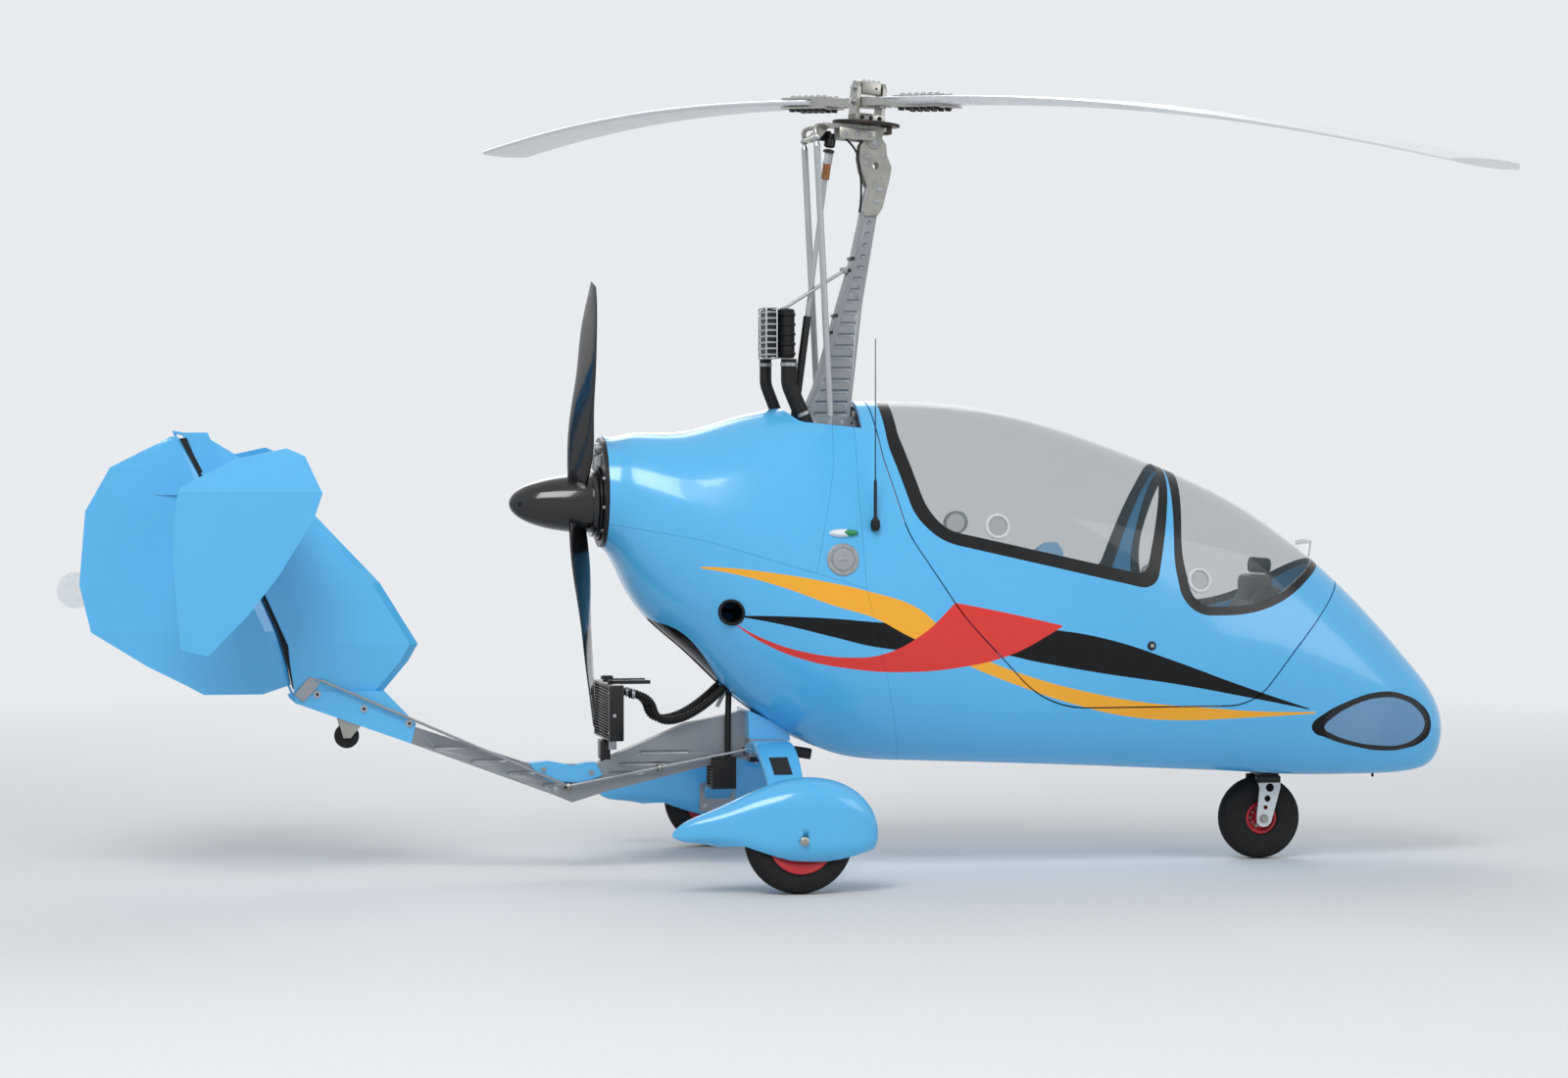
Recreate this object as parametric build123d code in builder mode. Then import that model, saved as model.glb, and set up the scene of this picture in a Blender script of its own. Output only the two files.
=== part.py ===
from build123d import *
from math import cos, hypot, radians, sin
import os

os.makedirs("parts", exist_ok=True)

# Two-seat enclosed gyrocopter, parked on its three wheels.
# Millimetres, +X to the nose, +Y to the left side, +Z up.
# The origin is on the ground at the middle of the overall length.

# Clearances
seat_gap = 0.3
bore_gap = 0.3
panel_gap = 0.8
canopy_gap = 5.0
running_gap = 6.0

# Body shell
body_wall = 18.0
lining_gap = 0.5
glass_thickness = 5.0
body_tail = -605.0
body_nose = 2500.0
body_reach = 500.0
exhaust_radius = 42.0
body_stations = [
    # station x, roof z, belly z, widest z, half width, half flat belly
    (-605, 1537, 1140, 1335, 185, 20),
    (-530, 1543, 1012, 1309, 219, 26),
    (-440, 1549, 887, 1272, 254, 33),
    (-320, 1553, 783, 1211, 287, 43),
    (-180, 1590, 651, 1127, 320, 61),
    (0, 1632, 515, 1016, 348, 86),
    (210, 1656, 414, 898, 364, 123),
    (440, 1660, 390, 831, 372, 154),
    (690, 1645, 381, 796, 372, 169),
    (950, 1590, 370, 775, 369, 170),
    (1210, 1506, 357, 750, 360, 167),
    (1450, 1414, 344, 724, 343, 161),
    (1680, 1308, 331, 694, 318, 151),
    (1890, 1173, 316, 648, 284, 136),
    (2080, 1017, 312, 597, 245, 117),
    (2240, 858, 312, 548, 203, 97),
    (2360, 723, 319, 508, 163, 73),
    (2440, 625, 344, 479, 120, 48),
    (2485, 542, 403, 470, 58, 20),
    (2500, 500, 445, 472, 20, 5),
]

# Seams and openings of the body in side view, as x, z
canopy_seam = [(320, 1800), (356, 1460), (425, 1200), (620, 905), (925, 582)]
canopy_seam += [(1690, 580), (1850, 772), (2120, 1062), (2120, 1800)]
canopy_seam_radii = [0, 300, 400, 800, 330, 200, 600, 0, 0]
mast_well = [(10, 1900), (10, 1650), (75, 1588), (293, 1565), (293, 1900)]
mast_well_radii = [0, 40, 60, 0, 0]
cowl_front = [(276, 1900), (253, 1330), (269, 1011), (343, 700), (425, 340)]
cowl_seam = [(-700, 1247), (-287, 1173), (93, 1060), (420, 960)]
cap_seam = [(222, 1900), (170, 1417), (93, 1060)]
rear_window = [(361, 1800), (378, 1500), (450, 1260), (540, 1168), (1325, 990), (1420, 1380), (1470, 1800)]
rear_window_radii = [0, 200, 180, 220, 60, 400, 0]
rear_pane = [(402, 1800), (418, 1540), (492, 1290), (560, 1208), (1290, 1045), (1388, 1380), (1432, 1800)]
rear_pane_radii = [0, 200, 230, 150, 45, 400, 0]
windscreen = [(1470, 1800), (1398, 1090), (1430, 900), (1760, 900), (2060, 1110), (2060, 1800)]
windscreen_radii = [0, 400, 120, 500, 0, 0]
windscreen_pane = [(1530, 1800), (1428, 1130), (1462, 932), (1750, 932), (2000, 1100), (2000, 1800)]
windscreen_pane_radii = [0, 400, 90, 420, 0, 0]
nose_window = [(1925, 470), (2040, 600), (2330, 625), (2420, 490), (2330, 395), (2120, 405)]
nose_window_radii = [60, 120, 60, 60, 120, 200]
exhaust_place = (-195, 924)

# Cabin
floor_z = 436.0
floor_thickness = 12.0
bulkhead_x = 300.0

# Mast, in side view as x, z
mast_half = 28.0
mast_rear = [(128, 560), (130, 1640), (161, 1711), (300, 2182), (353, 2426)]
mast_front = [(396, 2426), (325, 2008), (278, 1589), (264, 560)]

# Rotor head
hub_x = 350.0
hub_z = 2722.0
spindle_tilt = 4.3
blade_sweep = 11.0
teeter_rest = 3.0
pitch_pivot = (364, 2578)
pivot_radius = 8.0
spindle_radius = 15.0
cheek_thickness = 9.0
tower_height = 76.0
tower_cheek = 14.0
hub_bar_half = 40.0
hub_bar_thickness = 25.4
teeter_bolt_radius = 8.0
hub_bar_reach = 450.0
clamp_start = 300.0
clamp_end = 745.0
clamp_thickness = 8.0
ring_gear_radius = 118.0
ring_gear_thickness = 10.0

# Rotor blades
blade_tip = 4285.0
blade_chord = 210.0
blade_thickness = 24.0
blade_droop = 195.0

# Control rods and spin-up shaft
rod_y = 110.0
rod_radius = 11.5
rod_top = (142, 2590)
rod_bottom = (192, 1606)
rod_end_radius = 6.0
rod_pin_radius = 5.0
rod_pin_play = 1.8
rod_pin_offset = 0.12
rod_pin_rise = 1.0
rod_eye_radius = 13.0
rod_eye_width = 16.0
crossbar_half = 98.0
shaft_radius = 9.0
shaft_top = (205, 2520)
shaft_foot = (69.5, 1490)
sleeve_radius = 14.0
sleeve_length = 476.0
deck_shaft_x = 82.0

# Air ducts from the cooler into the deck
duct_right_y = -62.0
duct_right_radius = 28.0
duct_left_y = 52.0
duct_left_radius = 21.0

# Propeller
propeller_z = 1300.0
propeller_x = -700.0
propeller_radius = 870.0
prop_shaft_radius = 15.0
spinner_radius = 119.0
spinner_waist = 104.0
spinner_tip = -937.0

# Keel in side view, as x, z
keel_half = 30.0
keel_top = [(-1650, 655), (-1266, 520), (-867, 386), (-631, 382)]
keel_top += [(-587, 405), (-312, 520), (-120, 560), (275, 560)]
keel_bottom = [(275, 492), (60, 486), (-90, 404), (-597, 285)]
keel_bottom += [(-718, 248), (-781, 275), (-1286, 464), (-1670, 603)]

# Radiator hoses in side view, as x, z
hose_y = 70.0
hose_radius = 15.0
hose_points = [(-523.7, 630), (-450, 630), (-420, 520), (-270, 560), (-170, 660)]
hose_bends = [36, 40, 60]

# Undercarriage
main_track_half = 830.0
main_axle_x = -64.0
main_tyre_radius = 185.0
main_tyre_half = 52.0
main_rim_radius = 90.0
main_rim_holes = 3
axle_radius = 10.0
nose_axle_x = 1807.0
nose_tyre_radius = 150.0
nose_tyre_half = 46.0
nose_rim_radius = 64.0
nose_rim_holes = 5
nose_axle_radius = 8.0
steer_x = 1830.0
fork_half = 58.0
fork_plate = 8.0
stem_radius = 18.0
roller_radius = 43.0
roller_half = 12.0
roller_x = -1507.0
roller_z = 492.0
roller_axle_radius = 6.0

# Tail
hinge_top = (-2097, 1545)
hinge_foot = (-1702, 655)
rudder_pin_radius = 4.0
tip_plate_y = 562.0
tip_plate_thickness = 22.0
stabiliser_z = 1347.0
trim_tab_radius = 62.0


def side_plane(y):
    """Vertical fore-and-aft plane at y, with sketch x forward and sketch y up."""
    return Plane((0, y, 0), x_dir=(1, 0, 0), z_dir=(0, -1, 0))


def station_plane(x):
    """Cross plane at x, with sketch x to the left side and sketch y up."""
    return Plane((x, 0, 0), x_dir=(0, 1, 0), z_dir=(1, 0, 0))


def rod_plane(start, end, y=0.0):
    """Plane at start whose normal points to end, both x, z points in side view."""
    return Plane((start[0], y, start[1]), x_dir=(0, 1, 0), z_dir=(end[0] - start[0], 0, end[1] - start[1]))


def reach(start, end):
    """Distance between two x, z points."""
    return hypot(end[0] - start[0], end[1] - start[1])


def body_solid(inset):
    """Loft of the body, drawn in from the outside by inset."""
    with BuildPart() as hull:
        for x, roof, belly, widest, half, flat in body_stations:
            nose_end = x > 2450
            if inset and x == body_nose:
                continue
            place = x - inset if nose_end else x
            wide = half - inset
            below = widest - belly - inset
            with BuildSketch(station_plane(place)):
                with BuildLine():
                    EllipticalCenterArc((0, widest), wide, roof - widest - inset, 0, arc_size=180)
                    EllipticalCenterArc((-flat, widest), wide - flat, below, 180, arc_size=90)
                    Line((-flat, belly + inset), (flat, belly + inset))
                    EllipticalCenterArc((flat, widest), wide - flat, below, 270, arc_size=90)
                make_face()
        loft()
    return hull.part


def side_prism(outline, radii, half_width=body_reach):
    """Closed side-view outline extruded to both sides."""
    with BuildPart() as prism:
        with BuildSketch(Plane.XZ):
            with BuildLine():
                FilletPolyline(*outline, radius=radii, close=True)
            make_face()
        extrude(amount=half_width, both=True)
    return prism.part


def side_polygon(outline, half_width=body_reach):
    """Closed straight-sided outline extruded to both sides."""
    with BuildPart() as prism:
        with BuildSketch(Plane.XZ):
            with BuildLine():
                Polyline(*outline, close=True)
            make_face()
        extrude(amount=half_width, both=True)
    return prism.part


def lowered(outline, drop):
    """Outline with every point moved down by drop."""
    return [(x, z - drop) for x, z in outline]


def shifted(outline, dx):
    """Outline with every point moved forward by dx."""
    return [(x + dx, z) for x, z in outline]


def across(x, y, z):
    """Place of a cylinder that lies from side to side."""
    return Location((x, y, z), (90, 0, 0))


def hull_hollow():
    """Inside of the body below the mast well."""
    with BuildPart() as hollow:
        add(hull_inside)
        add(side_prism(lowered(mast_well, body_wall / 2), mast_well_radii), mode=Mode.SUBTRACT)
    return hollow.part


# Body volumes used to cut the panels
hull_outside = body_solid(0)
hull_inside = body_solid(body_wall)
hull_lining = body_solid(body_wall + lining_gap)
hull_glass = body_solid(glass_thickness)
with BuildPart() as hull_shell:
    add(hull_outside)
    add(side_prism(mast_well, mast_well_radii), mode=Mode.SUBTRACT)
    add(hull_hollow(), mode=Mode.SUBTRACT)

canopy_region = side_prism(canopy_seam, canopy_seam_radii)
cowl_side = cowl_front + [(900, 340), (900, 1900)]
mast_opening = [(106, 1400), (106, 1900), (294, 1900), (294, 1400)]
mast_hole = side_polygon(mast_opening, mast_half + running_gap)
keel_slot = side_polygon([(-460, 300), (-460, 900), (100, 620), (100, 300)], keel_half + running_gap)
with BuildPart() as deck_holes:
    with Locations((rod_bottom[0], rod_y, 1570), (rod_bottom[0], -rod_y, 1570)):
        Cylinder(rod_radius + 7, 120)
    with Locations((112, duct_right_y, 1590)):
        Cylinder(duct_right_radius + 8, 120)
    with Locations((30, duct_left_y, 1620)):
        Cylinder(duct_left_radius + 10, 160)
    with Locations((deck_shaft_x, 0, 1590)):
        Cylinder(28, 160)
with BuildPart() as canopy_margin:
    with BuildSketch(Plane.XZ):
        with BuildLine():
            FilletPolyline(*canopy_seam, radius=canopy_seam_radii, close=True)
        make_face()
        offset(amount=canopy_gap)
    extrude(amount=body_reach, both=True)

# Canopy, one side-hinged hood with two windows let into it
with BuildPart() as canopy_frame:
    add(hull_shell.part)
    add(canopy_region, mode=Mode.INTERSECT)
    add(side_prism(rear_window, rear_window_radii), mode=Mode.SUBTRACT)
    add(side_prism(windscreen, windscreen_radii), mode=Mode.SUBTRACT)
canopy_frame.part.label = "canopy_frame"
export_step(canopy_frame.part, "parts/canopy_frame.step")

window_table = [
    # edge outline, edge radii, pane outline, pane radii
    (rear_window, rear_window_radii, rear_pane, rear_pane_radii),
    (windscreen, windscreen_radii, windscreen_pane, windscreen_pane_radii),
]
with BuildPart() as canopy_panes:
    for edge, edge_radii, pane, pane_radii in window_table:
        add(side_prism(pane, pane_radii))
    add(hull_outside, mode=Mode.INTERSECT)
    add(hull_glass, mode=Mode.SUBTRACT)
canopy_panes.part.label = "canopy_panes"
export_step(canopy_panes.part, "parts/canopy_panes.step")

with BuildPart() as window_surrounds:
    for edge, edge_radii, pane, pane_radii in window_table:
        with BuildSketch(Plane.XZ):
            with BuildLine():
                FilletPolyline(*edge, radius=edge_radii, close=True)
            make_face()
            offset(amount=-seat_gap)
        extrude(amount=body_reach, both=True)
    for edge, edge_radii, pane, pane_radii in window_table:
        add(side_prism(pane, pane_radii), mode=Mode.SUBTRACT)
    add(hull_outside, mode=Mode.INTERSECT)
    add(hull_glass, mode=Mode.SUBTRACT)
window_surrounds.part.label = "window_surrounds"
export_step(window_surrounds.part, "parts/window_surrounds.step")

# Tub: nose, cabin floor and sides, and the frame behind the canopy
tub_side = shifted(cowl_front, panel_gap) + [(440, 200), (2600, 200), (2600, 1900)]
with BuildPart() as tub:
    add(hull_shell.part)
    add(side_polygon(tub_side), mode=Mode.INTERSECT)
    add(canopy_margin.part, mode=Mode.SUBTRACT)
    add(side_prism(nose_window, nose_window_radii), mode=Mode.SUBTRACT)
    add(mast_hole, mode=Mode.SUBTRACT)
    with Locations((steer_x, 0, 380)):
        Cylinder(stem_radius + 14, 86)
    with Locations((steer_x, 0, 380)):
        Cylinder(stem_radius + bore_gap, 200, mode=Mode.SUBTRACT)
    with Locations((steer_x, 0, 320)):
        Cylinder(stem_radius + 8, 34, mode=Mode.SUBTRACT)
tub.part.label = "tub"
export_step(tub.part, "parts/tub.step")

with BuildPart() as nose_windows:
    add(hull_outside)
    add(hull_glass, mode=Mode.SUBTRACT)
    with BuildSketch(Plane.XZ):
        with BuildLine():
            FilletPolyline(*nose_window, radius=nose_window_radii, close=True)
        make_face()
        offset(amount=-seat_gap)
    extrude(amount=body_reach, both=True, mode=Mode.INTERSECT)
nose_windows.part.label = "nose_windows"
export_step(nose_windows.part, "parts/nose_windows.step")

# Engine cowling in three panels
above_seam = lowered(cowl_seam, -panel_gap) + [(420, 1900), (-700, 1900)]
behind_cap_seam = shifted(cap_seam, panel_gap) + [(95, 900), (420, 900), (420, 1900)]
with BuildPart() as upper_cowl:
    add(hull_shell.part)
    add(side_polygon(above_seam), mode=Mode.INTERSECT)
    add(side_polygon(cap_seam + [(93, 900), (500, 900), (500, 1900)]), mode=Mode.SUBTRACT)
    add(mast_hole, mode=Mode.SUBTRACT)
    add(deck_holes.part, mode=Mode.SUBTRACT)
upper_cowl.part.label = "upper_cowl"
export_step(upper_cowl.part, "parts/upper_cowl.step")

with BuildPart() as filler_panel:
    add(hull_shell.part)
    add(side_polygon(above_seam), mode=Mode.INTERSECT)
    add(side_polygon(behind_cap_seam), mode=Mode.INTERSECT)
    add(side_polygon(cowl_side), mode=Mode.SUBTRACT)
    add(mast_hole, mode=Mode.SUBTRACT)
    add(deck_holes.part, mode=Mode.SUBTRACT)
filler_panel.part.label = "filler_panel"
export_step(filler_panel.part, "parts/filler_panel.step")

with BuildPart() as lower_cowl:
    add(hull_shell.part)
    add(side_polygon(cowl_seam + [(420, 340), (-700, 340)]), mode=Mode.INTERSECT)
    add(side_polygon(cowl_side), mode=Mode.SUBTRACT)
    add(keel_slot, mode=Mode.SUBTRACT)
    with Locations(across(exhaust_place[0], -300, exhaust_place[1])):
        Cylinder(exhaust_radius + seat_gap, 200, mode=Mode.SUBTRACT)
    for y in (-hose_y, hose_y):
        with BuildSketch(rod_plane(hose_points[-1], hose_points[-2], y)):
            Circle(hose_radius + 5)
        extrude(amount=120, both=True, mode=Mode.SUBTRACT)
lower_cowl.part.label = "lower_cowl"
export_step(lower_cowl.part, "parts/lower_cowl.step")

# Plate that closes the cowling behind the engine, with the reduction gear boss
engine_plate_thickness = 14.0
engine_plate_face = body_tail - seat_gap
gearbox_face = engine_plate_face - engine_plate_thickness
with BuildPart() as engine_plate:
    with BuildSketch(Plane((engine_plate_face, 0, 1338), x_dir=(0, 1, 0), z_dir=(-1, 0, 0))):
        Ellipse(180, 193)
    extrude(amount=engine_plate_thickness)
    with BuildSketch(Plane((gearbox_face, 0, propeller_z), x_dir=(0, 1, 0), z_dir=(-1, 0, 0))):
        Circle(55)
    extrude(amount=8)
    with BuildSketch(Plane((gearbox_face, 0, propeller_z), x_dir=(0, 1, 0), z_dir=(-1, 0, 0))):
        Circle(prop_shaft_radius)
    extrude(amount=90)
engine_plate.part.label = "engine_plate"
export_step(engine_plate.part, "parts/engine_plate.step")

with BuildPart() as engine_block:
    with Locations((-265, 0, 1230)):
        Box(390, 350, 280)
    add(side_polygon([(-100, 1150), (-100, 1210), (129.1, 1210), (128.8, 1150)], 24))
engine_block.part.label = "engine_block"
export_step(engine_block.part, "parts/engine_block.step")

# Cabin floor and rear bulkhead
liner_align = (Align.MIN, Align.CENTER, Align.MAX)
bulkhead_align = (Align.MIN, Align.CENTER, Align.MIN)
with BuildPart() as cabin_liner:
    with Locations((306, 0, floor_z)):
        Box(1548, 900, floor_thickness, align=liner_align)
    with Locations((bulkhead_x, 0, 424)):
        Box(floor_thickness, 900, 1212, align=bulkhead_align)
    add(hull_lining, mode=Mode.INTERSECT)
    add(side_polygon([(269, 900), (271.7, 1100), (304, 1100), (304, 900)], mast_half))
cabin_liner.part.label = "cabin_liner"
export_step(cabin_liner.part, "parts/cabin_liner.step")

# Seats, each a bucket shell with a seat cushion and a back cushion
seat_width = 400.0
seat_top_width = 170.0
seat_back_height = 560.0
shoulder_height = 340.0
seat_table = [
    # name, x of the seat's back foot, z of the seat pan
    ("rear", 440.0, 560.0),
    ("front", 985.0, 540.0),
]
for name, seat_x, seat_z in seat_table:
    foot_z = floor_z + seat_gap
    back_z = seat_z + seat_back_height
    upper_face = [(seat_x + 420, foot_z), (seat_x + 440, seat_z + 40), (seat_x + 60, seat_z)]
    upper_face += [(seat_x - 88, back_z)]
    lower_face = [(seat_x - 100, back_z - 4), (seat_x + 50, seat_z - 12)]
    lower_face += [(seat_x + 426, seat_z + 26), (seat_x + 408, foot_z)]
    stand = [(seat_x + 50, foot_z), (seat_x + 90, foot_z), (seat_x + 90, seat_z - 4), (seat_x + 50, seat_z - 8)]
    right_side = [(-seat_width / 2, 300), (-seat_width / 2, seat_z + shoulder_height)]
    right_side += [(-seat_top_width / 2, back_z)]
    left_side = [(-y, z) for y, z in reversed(right_side)]
    with BuildPart() as seat_front_view:
        with BuildSketch(station_plane(seat_x - 300)):
            with BuildLine():
                Polyline(*right_side, *left_side, close=True)
            make_face()
        extrude(amount=900)
    with BuildPart() as seat_shell:
        with BuildSketch(Plane.XZ):
            with BuildLine():
                Polyline(*upper_face, *lower_face, close=True)
            make_face()
        extrude(amount=seat_width / 2, both=True)
        with BuildSketch(Plane.XZ):
            with BuildLine():
                Polyline(*stand, close=True)
            make_face()
        extrude(amount=seat_width / 2 - 30, both=True)
        add(seat_front_view.part, mode=Mode.INTERSECT)
    seat_shell.part.label = f"{name}_seat_shell"
    export_step(seat_shell.part, f"parts/{name}_seat_shell.step")

    pan = Plane((seat_x + 62, 0, seat_z + 0.6), x_dir=(380, 0, 40), z_dir=(-40, 0, 380))
    rest = Plane((seat_x + 36.8, 0, seat_z + 90), x_dir=(-150, 0, 570), z_dir=(570, 0, 150))
    with BuildPart() as cushions:
        with BuildSketch(pan):
            with Locations((200, 0)):
                RectangleRounded(356, seat_width - 20, 50)
        extrude(amount=70)
        with BuildSketch(rest):
            with Locations((245, 0)):
                RectangleRounded(470, seat_width - 20, 60)
        extrude(amount=60)
        add(seat_front_view.part, mode=Mode.INTERSECT)
    cushions.part.label = f"{name}_cushions"
    export_step(cushions.part, f"parts/{name}_cushions.step")

# Instrument pod on its pedestal
pod_half = 120.0
pod_front = [(1790, floor_z + seat_gap), (1830, 860), (1850, 960)]
pod_rear = [(1790, 985), (1735, 860), (1700, 700), (1705, floor_z + seat_gap)]
with BuildPart() as instrument_pod:
    add(side_polygon(pod_front + pod_rear, pod_half))
instrument_pod.part.label = "instrument_pod"
export_step(instrument_pod.part, "parts/instrument_pod.step")

# Mast, a tapered box of pressed plates standing on the keel
with BuildPart() as mast:
    add(side_polygon(mast_rear + mast_front, mast_half))
mast.part.label = "mast"
mast_clear_outline = shifted(mast_rear, -seat_gap) + shifted(mast_front, seat_gap)
mast_clear = side_polygon(mast_clear_outline, mast_half + seat_gap)
export_step(mast.part, "parts/mast.step")

# Two cheeks at the mast head carry the pitch pivot bolt
cheek_outline = [(344, 2300), (352, 2430), (326, 2500), (330, 2592), (404, 2592), (428, 2492), (400, 2300)]
between_cheeks = [(200, 2200), (200, 2700), (500, 2700), (500, 2200)]
cheek_half = mast_half + seat_gap + cheek_thickness
with BuildPart() as mast_head:
    add(side_polygon(cheek_outline, cheek_half))
    add(side_polygon(between_cheeks, mast_half + seat_gap), mode=Mode.SUBTRACT)
    with Locations(across(pitch_pivot[0], 0, pitch_pivot[1])):
        Cylinder(pivot_radius, 2 * cheek_half + 12)
mast_head.part.label = "mast_head"
export_step(mast_head.part, "parts/mast_head.step")

# Tilting head: block on the pivot bolt, bridge plate, rear crossbar
head_across = Vector(cos(radians(spindle_tilt)), 0, -sin(radians(spindle_tilt)))
head_up = Vector(sin(radians(spindle_tilt)), 0, cos(radians(spindle_tilt)))
head_plane = Plane((hub_x, 0, hub_z), x_dir=head_across, z_dir=head_up)
pivot_local = head_plane.to_local_coords(Vector(pitch_pivot[0], 0, pitch_pivot[1]))


def on_head(x, y, z):
    """Plane square to the spindle at a place given from the hub."""
    return Plane(head_plane.from_local_coords(Vector(x, y, z)), x_dir=head_plane.x_dir, z_dir=head_plane.z_dir)


bridge_drop = 100.0
bridge_thickness = 14.0
pivot_block_reach = 22.0
rear_arm = [(184, 2650), (214, 2642), (160, 2579), (134, 2580), (134, 2602)]
with BuildPart() as head_bridge:
    with BuildSketch(on_head(0, 0, -bridge_drop)):
        with Locations((-45, 0)):
            RectangleRounded(230, 76, 10)
    extrude(amount=bridge_thickness)
    with BuildSketch(on_head(0, 0, pivot_local.Z - pivot_block_reach)):
        with Locations((pivot_local.X, 0)):
            Rectangle(46, 2 * mast_half - 12)
    extrude(amount=pivot_block_reach - pivot_local.Z - bridge_drop)
    add(side_polygon(rear_arm, 30))
    with Locations(across(rod_top[0] + rod_pin_offset, 0, rod_top[1] + rod_pin_rise)):
        Cylinder(9, 2 * crossbar_half)
        Cylinder(rod_pin_radius, 2 * rod_y + 28)
    with BuildSketch(on_head(0, 0, -bridge_drop)):
        Circle(spindle_radius)
    extrude(amount=56)
    with Locations(across(pitch_pivot[0], 0, pitch_pivot[1])):
        Cylinder(pivot_radius + bore_gap, 200, mode=Mode.SUBTRACT)
head_bridge.part.label = "head_bridge"
export_step(head_bridge.part, "parts/head_bridge.step")

# Teetering rotor tower on the spindle, with its spin-up ring gear
rotor_plane = Plane(head_plane.location * Location((0, 0, 0), (0, 0, 1), blade_sweep - 90))
blade_plane = Plane(rotor_plane.location * Location((0, 0, 0), (0, 1, 0), teeter_rest))


def on_rotor(plane, x, y, z):
    """Plane parallel to the given rotor plane at a place given from the hub."""
    return Plane(plane.from_local_coords(Vector(x, y, z)), x_dir=plane.x_dir, z_dir=plane.z_dir)


ring_gear_drop = 80.0
tower_base_height = 30.0
tower_base_drop = ring_gear_drop - ring_gear_thickness
tower_cheek_y = hub_bar_half + 2 + tower_cheek / 2
with BuildPart() as rotor_tower:
    with BuildSketch(on_rotor(rotor_plane, 0, 0, -ring_gear_drop)):
        Circle(ring_gear_radius)
    extrude(amount=ring_gear_thickness)
    with BuildSketch(on_rotor(rotor_plane, 0, 0, -tower_base_drop)):
        RectangleRounded(80, 112, 8)
    extrude(amount=tower_base_height)
    with BuildSketch(on_rotor(rotor_plane, 0, 0, tower_base_height - tower_base_drop)):
        with Locations((0, tower_cheek_y), (0, -tower_cheek_y)):
            RectangleRounded(66, tower_cheek, 3)
    extrude(amount=tower_base_drop - tower_base_height + tower_height)
    with BuildSketch(Plane(rotor_plane.origin, x_dir=rotor_plane.x_dir, z_dir=rotor_plane.y_dir)):
        Circle(teeter_bolt_radius)
    extrude(amount=hub_bar_half + tower_cheek + 10, both=True)
    with BuildSketch(on_rotor(rotor_plane, 0, 0, -90)):
        Circle(spindle_radius + bore_gap)
    extrude(amount=50.5, mode=Mode.SUBTRACT)
rotor_tower.part.label = "rotor_tower"
export_step(rotor_tower.part, "parts/rotor_tower.step")

with BuildPart() as rotor_hub:
    with BuildSketch(on_rotor(blade_plane, 0, 0, -hub_bar_thickness / 2)):
        RectangleRounded(2 * hub_bar_reach, 2 * hub_bar_half, 12)
    extrude(amount=hub_bar_thickness)
    for level in (hub_bar_thickness / 2, -hub_bar_thickness / 2 - clamp_thickness):
        with BuildSketch(on_rotor(blade_plane, 0, 0, level)):
            middle = (clamp_start + clamp_end) / 2
            with Locations((middle, 0), (-middle, 0)):
                RectangleRounded(clamp_end - clamp_start, 2 * hub_bar_half, 12)
        extrude(amount=clamp_thickness)
    with BuildSketch(Plane(rotor_plane.origin, x_dir=rotor_plane.x_dir, z_dir=rotor_plane.y_dir)):
        Circle(teeter_bolt_radius + bore_gap)
    extrude(amount=100, both=True, mode=Mode.SUBTRACT)
rotor_hub.part.label = "rotor_hub"
export_step(rotor_hub.part, "parts/rotor_hub.step")

# Rotor blades, drooping under their own weight
blade_root = hub_bar_reach + 2
blade_radii = [blade_root, clamp_end + 20, 1900, 3100, blade_tip]
for name, side in (("right_blade", 1), ("left_blade", -1)):
    with BuildPart() as blade:
        for radius in blade_radii:
            drop = blade_droop * max(0, (radius - blade_radii[1]) / (blade_tip - blade_radii[1])) ** 2
            centre = blade_plane.from_local_coords(Vector(side * radius, 0, -drop))
            with BuildSketch(Plane(centre, x_dir=side * blade_plane.y_dir, z_dir=side * blade_plane.x_dir)):
                with BuildLine():
                    lead = blade_chord * 0.28
                    trail = lead - blade_chord
                    half = blade_thickness / 2
                    nose = ThreePointArc((lead - 12, -half * 0.72), (lead, 0), (lead - 12, half * 0.72))
                    ThreePointArc(nose @ 1, (lead - 70, half), (trail, 1.2))
                    Line((trail, 1.2), (trail, -1.2))
                    ThreePointArc((trail, -1.2), (lead - 70, -half), nose @ 0)
                make_face()
        loft()
    blade.part.label = name
    export_step(blade.part, f"parts/{name}.step")

# Control rods and the telescopic spin-up shaft
with BuildPart() as control_rods:
    for y in (rod_y, -rod_y):
        with BuildSketch(rod_plane(rod_bottom, rod_top, y)):
            Circle(rod_radius)
        extrude(amount=reach(rod_bottom, rod_top) - 30)
        with BuildSketch(rod_plane(rod_bottom, rod_top, y)):
            Circle(rod_end_radius)
        extrude(amount=-70)
        with BuildSketch(rod_plane(rod_top, rod_bottom, y)):
            Circle(rod_end_radius)
        extrude(amount=40)
        with Locations(across(rod_top[0], y, rod_top[1])):
            Cylinder(rod_eye_radius, rod_eye_width)
            Cylinder(rod_pin_radius + rod_pin_play, rod_eye_width + 4, mode=Mode.SUBTRACT)
control_rods.part.label = "control_rods"
export_step(control_rods.part, "parts/control_rods.step")

with BuildPart() as spin_up_shaft:
    with BuildSketch(rod_plane(shaft_top, shaft_foot)):
        Circle(shaft_radius)
    extrude(amount=700)
spin_up_shaft.part.label = "spin_up_shaft"
export_step(spin_up_shaft.part, "parts/spin_up_shaft.step")

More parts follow.
